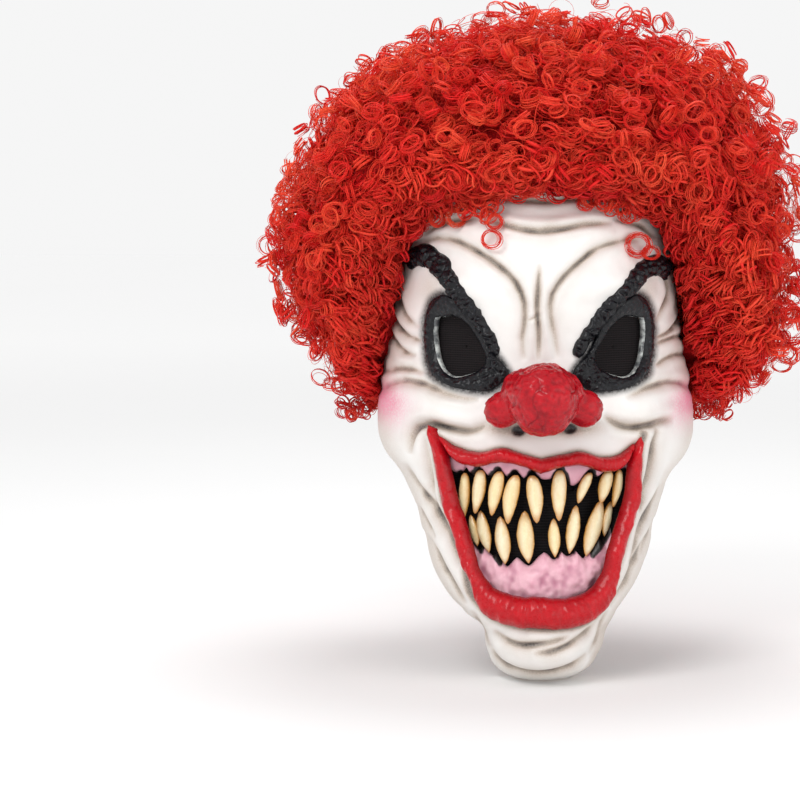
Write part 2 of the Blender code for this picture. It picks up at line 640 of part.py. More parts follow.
def main():
    for obj in list(bpy.data.objects):
        bpy.data.objects.remove(obj, do_unlink=True)
    parts = new_collection("clown_mask")
    cutters = new_collection("cutters")
    build_face_skin(parts, cutters)
    build_nose(parts)
    build_lips(parts)
    build_brows(parts)
    build_eyes(parts)
    build_teeth(parts)
    build_gums(parts)
    build_mouth_backing(parts)
    build_cap(parts)
    build_tapes(parts)
    build_hair(parts)


main()
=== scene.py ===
"""Looks of the clown fright mask: sculpted latex face, teeth, brows, eye meshes and a curly afro wig.

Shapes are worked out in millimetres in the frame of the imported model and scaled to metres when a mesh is
made. The origin is the centre of the wearer's head, the mask faces -Y and +Z is up.
"""
import math

import bpy
import numpy as np
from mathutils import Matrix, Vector, noise


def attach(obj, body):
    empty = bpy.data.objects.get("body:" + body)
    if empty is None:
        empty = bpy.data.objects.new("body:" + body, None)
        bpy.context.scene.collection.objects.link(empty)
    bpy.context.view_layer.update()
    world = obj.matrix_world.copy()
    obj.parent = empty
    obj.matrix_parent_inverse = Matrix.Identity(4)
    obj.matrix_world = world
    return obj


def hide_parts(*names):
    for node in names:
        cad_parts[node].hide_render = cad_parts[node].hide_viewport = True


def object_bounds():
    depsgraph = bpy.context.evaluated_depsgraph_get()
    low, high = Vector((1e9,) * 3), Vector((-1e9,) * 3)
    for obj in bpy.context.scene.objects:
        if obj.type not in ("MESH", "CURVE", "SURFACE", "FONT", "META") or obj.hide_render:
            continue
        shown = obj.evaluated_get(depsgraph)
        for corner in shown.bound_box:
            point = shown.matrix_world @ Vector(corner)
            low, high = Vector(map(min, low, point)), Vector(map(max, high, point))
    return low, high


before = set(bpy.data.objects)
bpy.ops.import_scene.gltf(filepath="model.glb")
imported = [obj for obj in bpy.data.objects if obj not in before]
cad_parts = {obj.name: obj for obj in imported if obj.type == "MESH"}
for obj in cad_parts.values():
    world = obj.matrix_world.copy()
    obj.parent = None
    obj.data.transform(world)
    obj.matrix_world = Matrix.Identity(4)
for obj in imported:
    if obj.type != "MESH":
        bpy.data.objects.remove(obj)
cad_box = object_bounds()

MM = 0.001
ROOT = "root"
BOX_SHARE, BOX_ROOM = 0.03, 0.0085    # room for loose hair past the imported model: share of a side, metres
FLOOR_GAP = 0.0015            # metres from the chin down to the floor
WAVE_SCALE = 314.16           # scale of a wave texture whose bands are 1 mm apart
BAND_FOOT = 0.4               # how far the edge of a strip on the face reaches into the latex

# ---- the face's surface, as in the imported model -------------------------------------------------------
WALL = 2.5
SECTION_POWER = 2.15
FACE_SECTIONS = np.array([    # height, half width, front depth, rear edge
    (100, 66, 75, 0), (82, 74, 87, 0), (58, 80, 97, 0), (30, 84.5, 101, 2),
    (0, 88.5, 99, 5), (-30, 94, 101, 5), (-48, 96, 102.5, 1), (-62, 94.5, 104.5, -6),
    (-70, 90.5, 105.5, -11), (-80, 81.5, 107, -18.5), (-92, 75, 108.5, -29),
    (-105, 70, 110, -40), (-122, 65, 112, -50), (-138, 59, 113, -56),
    (-152, 50, 114, -61), (-160, 43.5, 114, -64), (-167, 37.5, 113.5, -66),
    (-180, 33, 110, -68), (-191, 26, 99, -70), (-196, 18.5, 88, -71),
])
CHIN_LEAN = 3.3               # the chin hangs this far to the wearer's left
FACE_BUMPS = [                # |x|, height, spread across, spread up, rise
    (60, -36, 18, 16, 6), (42, 36, 20, 9, 4), (44, 0, 17, 20, -4),
    (0, 12, 9, 18, 2), (0, 68, 40, 7, 3.5), (0, -178, 22, 12, 5),
]
TOP, CHIN = FACE_SECTIONS[0, 0], FACE_SECTIONS[-1, 0]

EYE_CENTRE = (-46.8, -0.5)
EYE_OUTLINE = [               # round the left eye hole from its centre, +x towards the nose
    (-11.1, 15.4), (-5.8, 17), (-0.5, 15.6), (4.2, 11.2), (9, 4.1), (14, -4.2), (13.7, -10.1),
    (8.4, -14.8), (1.3, -17.2), (-5.8, -14.8), (-10, -8.9), (-12.3, 0.5), (-12.7, 8.9),
]
TO_BROW = (0.87, 0.49)        # direction from the left eye hole to its brow
RIM_OUTLINE = [               # the black surround's outer edge, from the same centre
    (-9.3, 29.6), (-0.5, 25), (7.5, 16), (13.5, 6.5), (19, -3), (24.5, -9.5), (28.5, -17),
    (23.3, -22.3), (16.8, -25.5), (4.9, -25.3), (-6.9, -22.5), (-15.2, -17.2), (-19.4, -7.7), (-20.6, 2.9),
    (-19.4, 17.2), (-15.2, 26.6),
]
LEFT_BROW = [(-75.5, 42.5), (-72.5, 48.5), (-66.5, 50.8), (-59, 46.5), (-52, 38), (-46, 28.5),
             (-39.8, 18), (-33.5, 8.5), (-28.3, -0.5), (-26.3, -5.5)]
RIGHT_BROW = [(74.5, 36), (73, 42), (67, 45.5), (59, 42), (49.5, 32.5), (40.8, 23),
              (33.5, 13.2), (27, 4.5), (22, -3), (20.4, -6)]
LIP_INNER = [(58, -54), (54, -64), (51.5, -76), (48, -91), (43, -105), (38.5, -119),
             (35, -132), (28, -140.5), (16, -144.5), (0, -145)]
LIP_OUTER = [(61.5, -50), (60.5, -63), (57.5, -80), (54, -96), (48.5, -112), (43.5, -130),
             (39, -147), (28, -157.5), (15, -161), (0, -161.8)]
UPPER_LIP_TOP = [(0, -64), (12, -61), (22, -58.8), (35, -62), (51, -58.5), (57, -54.5)]
UPPER_LIP_BOTTOM = [(0, -71.5), (13, -67), (25, -66.5), (37, -69.5), (48, -67), (55, -59.5)]
MOUTH_TOP = [(40, -61.5), (20, -59), (0, -63.5)]
MOUTH_CEILING = np.array([    # |x|, highest reach of the latex cut edge round the mouth
    (0, -69), (13, -65.5), (25, -64), (37, -67), (50, -63.5), (60, -58),
])
MOUTH_TILT = 0.04
UPPER_LIP_SHIFT = -1.3
EYE_WIDENING = 1.9            # on the side of the eye hole away from the nose
EYE_OVERLAP, LIP_OVERLAP = 1.2, 3     # how far the surrounds and the lips reach in over the cut edges

UPPER_TEETH = [               # x at the root, root height, tip height, width, sideways lean of the tip
    (-46.2, -75, -102.1, 6.2, -1.9), (-36.4, -72.1, -97.6, 7.9, -4.1), (-24.8, -72.2, -98.1, 8.7, -5.3),
    (-15.1, -74, -102.4, 9.6, -5), (-5, -74.1, -101.6, 9.9, 2.6), (11.6, -71.2, -100.4, 9.5, -0.2),
    (30.2, -73.2, -90.6, 7.1, -6.7), (42, -73, -91.3, 8.2, -3.9), (49, -73.3, -94.3, 5.4, -3.2),
]
LOWER_TEETH = [
    (-41.8, -116.8, -98.9, 6, -4.3), (-34.1, -120, -95.8, 8.6, -5.2), (-23.2, -126.4, -98.3, 10.3, -3.1),
    (-7.5, -125.2, -94.6, 11.4, -2.4), (9.7, -121.6, -99, 8.1, -1.2), (19.2, -119.6, -91.7, 9.2, 4.2),
    (30.8, -122.1, -89.9, 11.3, 9.7), (43.7, -111.1, -91.3, 6, 4),
]
UPPER_TOOTH_SEAT, LOWER_TOOTH_SEAT, TOOTH_DEPTH = -5, -9.6, 4
TOOTH_SHAPE = np.array([      # share of the way from root to tip, then of the full width: upper, lower
    (0, 0.30, 0.05), (0.06, 0.62, 0.28), (0.15, 0.83, 0.55), (0.3, 0.98, 0.86), (0.45, 1, 1),
    (0.6, 0.90, 0.97), (0.75, 0.70, 0.80), (0.88, 0.45, 0.54), (0.96, 0.26, 0.30), (1, 0.03, 0.03),
])

NOSE_CENTRE = np.array([0, -119, -33])
NOSE_BALLS = [                # bulb, shoulders and side lobes: centre, radius
    ((0.4, -130, -25.5), 18.3), ((0.4, -129.5, -31), 18.3), ((-12.5, -121, -22.5), 10.2),
    ((13.5, -121, -23), 9.8), ((-22.4, -113, -35.5), 10.6), ((24.6, -113, -34.8), 10.8),
]
NOSTRILS = [(-13, -48.8), (17, -47.6)]
NOSE_BLEND = 2                # how softly the bulb and the lobes run into each other

# Wrinkles of the face: depth, width, darkness of the grey in them, partly airbrush and partly painted shade,
# then points (x, height)
FOLDS = [
    (3.4, 1.9, 1, [(-31, 73.5), (-20, 69.2), (-11, 66.8), (-2, 65.6), (10, 66.6), (24, 69.5), (42, 71)]),
    (2.2, 1.9, 0.8, [(-33, 87), (-12, 84.5), (6, 84), (24, 86), (40, 88)]),
    (1.8, 1.9, 0.7, [(-68, 62), (-60, 68.5), (-49, 72), (-36, 73)]),
    (1.8, 1.9, 0.7, [(70, 60), (63, 66), (52, 71), (42, 73)]),
    (2.7, 1.8, 1, [(-72, 57), (-63, 61), (-50, 60.5), (-37, 54.5), (-24, 46), (-14, 36), (-9.6, 25),
                   (-9.6, 14), (-11, 3), (-9.5, -8)]),
    (2.7, 1.8, 0.9, [(64, 62), (46, 60), (33, 56.5), (21, 47.5), (11, 37.5), (6, 29), (5.4, 18),
                     (8, 6), (10, -7)]),
    (2.4, 1.5, 1, [(-1, 48), (-1.7, 36), (-2.4, 22), (-1.2, 8), (-1.6, -8)]),
    (0.9, 1, 0.5, [(-9, 15), (-4, 17), (0, 19)]),
    (2.2, 1.7, 0.9, [(-83, 47), (-84.5, 36), (-83, 24), (-79, 14.5), (-71, 8)]),
    (2.2, 1.7, 0.9, [(-88, 19), (-84, 9), (-78, 3), (-69.5, 0.5)]),
    (2, 1.7, 0.9, [(-89, 6), (-85.5, -1), (-80, -6.5), (-72, -8.5)]),
    (2.2, 1.7, 0.9, [(75, 39), (77.5, 29), (73.5, 19), (69.5, 12)]),
    (1.8, 1.6, 0.9, [(88, 14), (83, 9), (76, 4.5), (68.5, 2.8)]),
    (1.6, 1.5, 0.8, [(90, -1), (83, 1.6), (75, 0.6), (68.5, -1)]),
    (2, 1.7, 0.9, [(92, -12), (84, -9), (76, -10), (68, -14)]),
    (2.2, 2, 0.8, [(-94, -23), (-85, -18), (-76, -16.5), (-66, -18)]),
    (2.6, 2.1, 0.9, [(-97, -36), (-89, -28), (-77, -23.4), (-65, -24.6), (-54, -28.5), (-43, -31.2),
                     (-35, -31)]),
    (2.6, 2.1, 0.9, [(97, -35), (89, -27.5), (79, -24.2), (68, -24.5), (58, -27), (48, -31)]),
    (4.2, 2.3, 1, [(-29, -44.5), (-39.5, -49.2), (-52, -48.4), (-62, -47), (-70, -49.8), (-75, -58),
                   (-76, -66)]),
    (4.2, 2.3, 1, [(36, -40), (44, -45.5), (52, -47.9), (62, -47.2), (71, -45.4), (79, -45)]),
    (3, 2.2, 0.9, [(66, -47), (66.5, -58), (65, -72), (61.5, -88), (58, -100)]),
    (2.2, 2, 0.5, [(-66, -52), (-65.5, -66), (-63, -82), (-59.5, -98)]),
    (2.4, 2.2, 0.9, [(-79, -72), (-73, -82), (-66, -90), (-59, -99), (-53, -110), (-48, -122),
                     (-45, -131)]),
    (2.4, 2.2, 0.8, [(-68, -112), (-61, -122), (-55, -133), (-49, -143), (-43, -152)]),
    (2, 2, 0.7, [(-71, -97), (-66, -106), (-60, -115)]),
    (2.4, 2.2, 0.9, [(73, -84), (67, -94), (60.5, -105), (56, -117), (52.5, -129)]),
    (2.2, 2.2, 0.8, [(63, -112), (57, -124), (52, -136), (46, -146), (41, -153)]),
    (1.8, 2, 0.6, [(69, -104), (63, -116), (59, -127)]),
    (2.3, 2, 0.9, [(-27, -165), (-19.5, -169.5), (-11.5, -171.6), (-1.5, -170.8), (8.5, -168.8),
                   (17, -166.5)]),
    (2.2, 1.9, 0.9, [(-4, -175), (8, -173.8), (17, -171), (26, -165.5), (33, -159)]),
    (3, 2.3, 1, [(-29, -176), (-23, -183.5), (-13, -187.2), (-1.5, -187.8), (9, -186.5), (18, -184),
                 (27, -178.5)]),
    (1.5, 2.4, 0.6, [(-40, -155), (-36, -163), (-31, -172), (-27, -180)]),
    (1.5, 2.4, 0.6, [(40, -154), (36, -163), (33, -172), (28, -180)]),
]

# ---- the wig ------------------------------------------------------------------------------------------
HAIR_CENTRE = np.array([0, 8, 20])
HAIR_REACH = np.array([       # elevation, then outer radius at the sides, over the face and at the back
    (-36, 122, 130, 136), (-20, 134, 138, 147), (-5, 148, 141, 156),
    (10, 158, 144, 163), (30, 168, 151, 170), (50, 173, 168, 174),
    (70, 177, 176, 177), (90, 179, 179, 179),
])
HAIRLINE = np.array([         # degrees round from the front, lowest elevation that carries hair
    (0, 33), (25, 32), (40, 28), (50, 20), (60, 6), (70, -12), (80, -26),
    (100, -33), (180, -34),
])
HAIR_TRIM = np.array([         # degrees up from the mask's right-hand side as seen, change of the outline
    (-40, 0), (-27, -4), (-18, 6), (-6, 2), (4, -3), (14, -6), (24, 0), (40, 2),
    (52, 7), (62, 3), (72, -3), (84, -6.5), (102, -10.5), (117, -8), (130, -4),
    (144, -1), (156, -7), (171, -5), (182, -4), (190, -12), (200, -9), (210, -12),
    (225, -5),
])
STRAY_CURLS = [               # x, height and ring radius of the loose curls that lie on the forehead
    (-26.5, 60, 5.2), (-24.5, 69, 4.6), (-45, 71.5, 4.6), (-55, 70.5, 4.2), (53, 56.5, 6.4),
    (60, 52, 4.6), (-84, 50, 4.8), (-80.5, 46, 4.2), (24, 79.5, 4),
]
FRINGE_EDGE = np.array([      # x across the forehead, lowest height that a loose curl of the fringe reaches
    (-84, 42), (-72, 54), (-60, 64), (-45, 72), (-33, 64), (-25, 66), (-19, 82),
    (15, 83), (26, 74), (45, 68), (58, 60), (70, 56), (84, 42),
])
LOWEST_HAIR = HAIRLINE[-1, 1]
CAP_REACH = 84                # radius from the hair's centre that is always inside the wig
LARGEST_PIECE = 62000         # quads in one piece of curls
SEED = 7


# ---- curves and surfaces ------------------------------------------------------------------------------
def smooth_curve(at, xs, ys):
    """Cubic through the points (xs, ys), read at the values `at`."""
    xs, ys = np.asarray(xs, float), np.asarray(ys, float)
    if xs[0] > xs[-1]:
        xs, ys = xs[::-1], ys[::-1]
    slopes = np.gradient(ys, xs)
    at = np.clip(at, xs[0], xs[-1])
    i = np.clip(np.searchsorted(xs, at) - 1, 0, len(xs) - 2)
    h = xs[i + 1] - xs[i]
    t = (at - xs[i]) / h
    return ((2 * t**3 - 3 * t**2 + 1) * ys[i] + (t**3 - 2 * t**2 + t) * h * slopes[i]
            + (-2 * t**3 + 3 * t**2) * ys[i + 1] + (t**3 - t**2) * h * slopes[i + 1])


def resample(points, count, closed=False):
    """The smooth line through some points, as `count` evenly spread ones."""
    pts = np.array(points, float)
    if closed:
        pts = np.vstack([pts[-2:], pts, pts[:3]])
    run = np.r_[0.0, np.cumsum(np.linalg.norm(np.diff(pts, axis=0), axis=1))]
    first, last = (run[2], run[-3]) if closed else (run[0], run[-1])
    at = np.linspace(first, last, count, endpoint=not closed)
    return np.column_stack([smooth_curve(at, run, pts[:, k]) for k in range(pts.shape[1])])


def unit(vectors):
    return vectors / np.linalg.norm(vectors, axis=-1, keepdims=True)


def outward(points):
    """Unit normals of a closed flat outline, pointing away from its inside."""
    along = np.roll(points, -1, axis=0) - np.roll(points, 1, axis=0)
    normal = unit(np.column_stack([along[:, 1], -along[:, 0]]))
    x, y = points.T
    area = np.sum(x * np.roll(y, -1) - y * np.roll(x, -1))
    return normal if area > 0 else -normal


def whole(half):
    """A line from its right half, which ends at x = 0, and the mirrored half."""
    return half + [(-x, z) for x, z in half[:-1]][::-1]


def step_between(value, low, high):
    """0 below `low`, 1 above `high`, smooth between them."""
    t = np.clip((value - low) / (high - low), 0.0, 1.0)
    return t * t * (3 - 2 * t)


def bell(value, centre, spread):
    """1 at the centre, falling off smoothly on both sides."""
    return np.exp(-(((value - centre) / spread) ** 2))


def patch(x, z, centre_x, centre_z, spread_x, spread_z):
    """1 at a place on the face, falling off smoothly round it."""
    return np.exp(-(((x - centre_x) / spread_x) ** 2) - ((z - centre_z) / spread_z) ** 2)


def section(z):
    return [smooth_curve(z, FACE_SECTIONS[:, 0], FACE_SECTIONS[:, k]) for k in (1, 2, 3)]


def chin_lean(z):
    return CHIN_LEAN * step_between(-z, 150.0, 172.0)


def bare_skin(turn, z):
    half, front, rear = section(z)
    across = np.sign(np.sin(turn)) * np.abs(np.sin(turn)) ** (2 / SECTION_POWER)
    ahead = np.sign(np.cos(turn)) * np.abs(np.cos(turn)) ** (2 / SECTION_POWER)
    return np.stack([half * across + chin_lean(z), rear - (front + rear) * ahead, z + 0 * turn], axis=-1)


def relief(x, z):
    """Height of the broad bumps over the face's sections."""
    rise = 0.0
    for side, height, spread_x, spread_z, amount in FACE_BUMPS:
        for s in ((-1, 1) if side else (1,)):
            rise = rise + amount * patch(x, z, s * side, height, spread_x, spread_z)
    return rise


def skin_at_turn(turn, z, offset=0.0):
    """Point over the face, `offset` mm out of its surface, by the turn from straight ahead."""
    point = bare_skin(turn, z)
    across = bare_skin(turn + 1e-3, z) - bare_skin(turn - 1e-3, z)
    up = bare_skin(turn, z + 0.5) - bare_skin(turn, z - 0.5)
    normal = unit(np.cross(across, up))
    return point + normal * np.asarray(relief(point[..., 0], z) + offset)[..., None]


def turn_at(x, z):
    aside = x - chin_lean(z)
    ratio = np.clip(np.abs(aside) / section(z)[0], 0.0, 0.998)
    return np.sign(aside) * np.arcsin(ratio ** (SECTION_POWER / 2))


def skin(x, z, offset=0.0):
    """Point over the face at x and height z, `offset` mm out of its surface."""
    x, z = np.asarray(x, float), np.asarray(z, float)
    return skin_at_turn(turn_at(x, z), z, offset)


def inside_outline(points, outline):
    """True for each flat point inside a closed outline."""
    inside = np.zeros(len(points), bool)
    x, z = points[:, 0], points[:, 1]
    for (ax, az), (bx, bz) in zip(outline, np.roll(outline, -1, axis=0)):
        spans = (az > z) != (bz > z)
        if az != bz:
            inside ^= spans & (x < (bx - ax) * (z - az) / (bz - az) + ax)
    return inside


def nearest_on(points, outline, closed=False):
    """Distance to a flat line, the nearest point on it, and how far along it that is from 0 to 1."""
    best = np.full(len(points), 1e9)
    nearest = np.zeros_like(points)
    share = np.zeros(len(points))
    ends = np.roll(outline, -1, axis=0) if closed else outline[1:]
    starts = outline if closed else outline[:-1]
    for k, (a, b) in enumerate(zip(starts, ends)):
        along = b - a
        t = np.clip((points - a) @ along / (along @ along), 0.0, 1.0)
        at = a + t[:, None] * along
        gap = np.linalg.norm(points - at, axis=1)
        closer = gap < best
        best[closer] = gap[closer]
        nearest[closer] = at[closer]
        share[closer] = (k + t[closer]) / len(starts)
    return best, nearest, share


def roughen(points, size, seed):
    """Smooth noise from -1 to 1 at 3-D points in mm, with lumps about `size` mm across."""
    shift = Vector((seed * 7.3, seed * 3.1, seed * 5.7))
    flat = np.asarray(points, float).reshape(-1, 3) / size
    values = np.fromiter((noise.noise(Vector(p) + shift) for p in flat), float, len(flat))
    return values.reshape(np.asarray(points).shape[:-1])


def ripple(along, per_length, second, third):
    """Smooth noise from -1 to 1 along a line, at shares of its length."""
    return np.array([noise.noise(Vector((s * per_length, second, third))) for s in along])


def rippled(along, across, per_length, per_width, seed):
    """Smooth noise from -1 to 1 over a strip: stations along it by steps across."""
    return np.stack([ripple(along, per_length, u * per_width, seed) for u in across], axis=1)


def pebbles(points, size, seed):
    """0 in the cracks between rounded cells and up to 1 on them."""
    shift = Vector((seed * 3.7, seed * 9.1, seed * 1.9))
    flat = np.asarray(points, float).reshape(-1, 3) / size
    values = np.empty(len(flat))
    for i, p in enumerate(flat):
        near = noise.voronoi(Vector(p) + shift)[0]
        values[i] = near[1] - near[0]
    return step_between(values.reshape(np.asarray(points).shape[:-1]), 0.0, 0.55)


# ---- meshes -------------------------------------------------------------------------------------------
def make_piece(name, verts, faces, mat, replaces, slot, paint=None):
    """Mesh object from points in mm and an array of quads or triangles, riding on the model."""
    verts = np.asarray(verts, np.float32) * MM
    faces = np.asarray(faces, np.int32)
    mesh = bpy.data.meshes.new(name)
    sides = faces.shape[1]
    mesh.vertices.add(len(verts))
    mesh.vertices.foreach_set("co", verts.ravel())
    mesh.loops.add(faces.size)
    mesh.loops.foreach_set("vertex_index", faces.ravel())
    mesh.polygons.add(len(faces))
    mesh.polygons.foreach_set("loop_start", np.arange(0, faces.size, sides, dtype=np.int32))
    mesh.polygons.foreach_set("use_smooth", np.ones(len(faces), bool))
    mesh.update(calc_edges=True)
    mesh.validate()
    if paint is not None:
        colour = np.ones((len(verts), 4), np.float32)
        colour[:, :3] = paint
        layer = mesh.color_attributes.new("paint", "FLOAT_COLOR", "POINT")
        layer.data.foreach_set("color", colour.ravel())
    obj = bpy.data.objects.new(name, mesh)
    bpy.context.scene.collection.objects.link(obj)
    mesh.materials.append(mat)
    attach(obj, ROOT)
    if replaces:
        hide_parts(*replaces)
    return obj


def grid_quads(rows, columns, wrap_rows=False, wrap_columns=False, first=0):
    """Quads of a grid of points stored row by row."""
    r = np.arange(rows if wrap_rows else rows - 1)
    c = np.arange(columns if wrap_columns else columns - 1)
    r, c = np.meshgrid(r, c, indexing="ij")
    r2, c2 = (r + 1) % rows, (c + 1) % columns
    quads = np.stack([r * columns + c, r * columns + c2, r2 * columns + c2, r2 * columns + c], axis=-1)
    return first + quads.reshape(-1, 4)


def end_quads(count, first=0):
    """Quads that close a ring of an even number of points."""
    i = np.arange(count // 2 - 1)
    return first + np.stack([i, i + 1, count - 2 - i, count - 1 - i], axis=-1)


def out_facing(verts, faces):
    """The faces of a closed solid, turned so that they face out."""
    a, b, c = (verts[faces[:, k]] for k in (0, 1, 2))
    d = verts[faces[:, -1]]
    volume = np.sum(np.cross(a, b) * c) + (np.sum(np.cross(a, c) * d) if faces.shape[1] == 4 else 0.0)
    return faces[:, ::-1] if volume < 0 else faces


def solid_from_rings(rings, path_closed=False):
    """Points and quads of a closed solid through rings of points."""
    count, around = rings.shape[:2]
    verts = rings.reshape(-1, 3)
    quads = grid_quads(count, around, wrap_rows=path_closed, wrap_columns=True)
    if not path_closed:
        last = (count - 1) * around
        quads = np.vstack([quads, end_quads(around)[:, ::-1], end_quads(around, last)])
    return verts, out_facing(verts, quads)


def strip_between(edge_a, edge_b, across):
    """Flat points in even steps from one edge to the other, station by station."""
    t = np.linspace(0.0, 1.0, across)
    return edge_a[:, None] + (edge_b - edge_a)[:, None] * t[None, :, None]


def band(edge_a, edge_b, back, rise, power, path_closed=False):
    """Rounded strip over the face between two edges, `rise` mm proud at each station and step across.
    Returns points, quads and each point's share of the full height."""
    across = rise.shape[1]
    profile = np.maximum(np.sin(math.pi * np.linspace(0.0, 1.0, across)) ** power, 0.02)
    line = strip_between(edge_a, edge_b, across)
    over = skin(line[..., 0], line[..., 1], back + rise * profile)
    under = skin(line[..., 0], line[..., 1], back - BAND_FOOT)
    rings = np.concatenate([under, over[:, ::-1]], axis=1)
    verts, quads = solid_from_rings(rings, path_closed)
    height = np.tile(np.concatenate([np.zeros(across), profile[::-1]]), len(rise))
    return verts, quads, height


# ---- materials ----------------------------------------------------------------------------------------
class Look:
    """A Principled material with small helpers for its procedural nodes."""

    def __init__(self, name, colour, roughness, **sockets):
        self.mat = bpy.data.materials.new(name)
        self.mat.use_nodes = True
        self.tree = self.mat.node_tree
        self.shader = self.tree.nodes["Principled BSDF"]
        self.set(self.shader, "Base Color", (*colour, 1.0))
        self.set(self.shader, "Roughness", roughness)
        for socket, value in sockets.items():
            self.set(self.shader, socket.replace("_", " "), value)
        self.place = self.tree.nodes.new("ShaderNodeTexCoord").outputs["Object"]

    def set(self, node, socket, value):
        """Set a node's input to a number or colour, or link it to another node's output."""
        if isinstance(value, bpy.types.NodeSocket):
            self.tree.links.new(value, node.inputs[socket])
        else:
            node.inputs[socket].default_value = value

    def attribute(self, channel):
        node = self.tree.nodes.new("ShaderNodeAttribute")
        node.attribute_name = "paint"
        split = self.tree.nodes.new("ShaderNodeSeparateColor")
        self.tree.links.new(node.outputs["Color"], split.inputs["Color"])
        return split.outputs["Red Green Blue".split()[channel]]

    def noise(self, per_metre, detail=3.0, rough=0.5, distortion=0.0, stretch=None):
        node = self.tree.nodes.new("ShaderNodeTexNoise")
        self.set(node, "Scale", per_metre)
        self.set(node, "Detail", detail)
        self.set(node, "Roughness", rough)
        self.set(node, "Distortion", distortion)
        self.set(node, "Vector", self.stretched(stretch) if stretch else self.place)
        return node.outputs["Fac"]

    def stretched(self, scale):
        node = self.tree.nodes.new("ShaderNodeMapping")
        self.set(node, "Vector", self.place)
        self.set(node, "Scale", scale)
        return node.outputs["Vector"]

    def wave(self, per_metre, direction):
        node = self.tree.nodes.new("ShaderNodeTexWave")
        node.bands_direction = direction
        self.set(node, "Scale", per_metre)
        self.set(node, "Distortion", 0.6)
        self.set(node, "Vector", self.place)
        return node.outputs["Fac"]

    def fit(self, value, low, high, to_low=0.0, to_high=1.0):
        node = self.tree.nodes.new("ShaderNodeMapRange")
        ends = {"From Min": low, "From Max": high, "To Min": to_low, "To Max": to_high}
        for socket, number in ends.items():
            self.set(node, socket, number)
        self.set(node, "Value", value)
        return node.outputs["Result"]

    def math(self, operation, a, b):
        node = self.tree.nodes.new("ShaderNodeMath")
        node.operation = operation
        self.set(node, 0, a)
        self.set(node, 1, b)
        return node.outputs["Value"]

    def mix(self, share, a, b):
        node = self.tree.nodes.new("ShaderNodeMix")
        node.data_type = "RGBA"
        for socket, value in ((6, a), (7, b)):
            linked = isinstance(value, bpy.types.NodeSocket)
            self.set(node, socket, value if linked else (*value, 1.0))
        self.set(node, 0, share)
        return node.outputs[2]

    def bump(self, height, strength, depth_mm):
        node = self.tree.nodes.new("ShaderNodeBump")
        self.set(node, "Strength", strength)
        self.set(node, "Distance", depth_mm * MM)
        self.set(node, "Height", height)
        old = self.shader.inputs["Normal"].links
        if old:
            self.tree.links.new(old[0].from_socket, node.inputs["Normal"])
        self.tree.links.new(node.outputs["Normal"], self.shader.inputs["Normal"])

    def colour(self, socket):
        self.set(self.shader, "Base Color", socket)

    def roughness(self, socket):
        self.set(self.shader, "Roughness", socket)


def painted_latex():
    """White rubber with grey in the wrinkles, partly airbrush and partly painted shade, more painted shade
    on its sides, in the eye sockets, along the lips and under the nose, pink cheeks and black round the
    eyes.
    """
    look = Look("painted_latex", (0.9, 0.88, 0.86), 0.45, Coat_Weight=0.10, Coat_Roughness=0.35)
    shade, blush, ink = (look.attribute(k) for k in range(3))
    mottle = look.fit(look.noise(55.0, 4.0), 0.4, 0.75)
    white = look.mix(mottle, (0.90, 0.885, 0.86), (0.86, 0.835, 0.80))
    speckle = look.fit(look.noise(1300.0, 2.0), 0.35, 0.62, 0.82, 1.08)
    shade = look.math("MULTIPLY", shade, speckle)
    # the shade channel, partly airbrush and partly painted shade: warm beige where it is light, near black
    # where it is strong
    warm = look.mix(look.fit(shade, 0.0, 0.45), white, (0.56, 0.475, 0.40))
    shaded = look.mix(look.fit(shade, 0.35, 1.0), warm, (0.055, 0.045, 0.042))
    dots = look.fit(look.noise(900.0, 2.0), 0.36, 0.60, 0.55, 1.1)
    pink = look.mix(look.math("MULTIPLY", blush, dots), shaded, (0.84, 0.24, 0.38))
    mist = look.fit(look.noise(700.0, 3.0), 0.30, 0.65, 0.8, 1.1)
    look.colour(look.mix(look.math("MULTIPLY", ink, mist), pink, (0.010, 0.009, 0.010)))
    look.roughness(look.fit(look.noise(300.0, 3.0), 0.3, 0.7, 0.36, 0.52))
    look.bump(look.noise(420.0, 4.0, 0.6), 0.35, 0.25)
    look.bump(look.noise(2600.0, 2.0), 0.25, 0.08)
    return look.mat


def raw_latex():
    look = Look("raw_latex", (0.8, 0.74, 0.62), 0.55, Coat_Weight=0.08)
    clouds = look.fit(look.noise(45.0, 4.0), 0.35, 0.7)
    look.colour(look.mix(clouds, (0.82, 0.765, 0.65), (0.70, 0.62, 0.49)))
    look.bump(look.noise(260.0, 4.0, 0.6), 0.5, 0.4)
    return look.mat


def glossy_red(name, bright, painted_shade, grain_mm):
    """Thick red enamel over rubber; the paint channel darkens it with painted shade in its hollows and where
    it meets the face.
    """
    look = Look(name, bright, 0.3, Coat_Weight=0.22, Coat_Roughness=0.10, Specular_IOR_Level=0.2)
    hollow_shade = look.attribute(0)
    patch = look.fit(look.noise(140.0, 4.0, 0.6), 0.35, 0.7)
    red = look.mix(patch, bright, tuple(0.78 * c for c in bright))
    # painted shade: darker red where the paint channel marks hollows
    red = look.mix(hollow_shade, red, painted_shade)
    flecks = look.fit(look.noise(1900.0, 2.0), 0.68, 0.76, 0.0, 0.25)
    look.colour(look.mix(flecks, red, (0.80, 0.16, 0.16)))
    look.roughness(look.fit(look.noise(500.0, 3.0), 0.3, 0.7, 0.2, 0.4))
    look.bump(look.noise(1000.0 / grain_mm, 4.0, 0.6), 0.45, 0.35)
    look.bump(look.noise(2200.0, 2.0), 0.25, 0.08)
    return look.mat


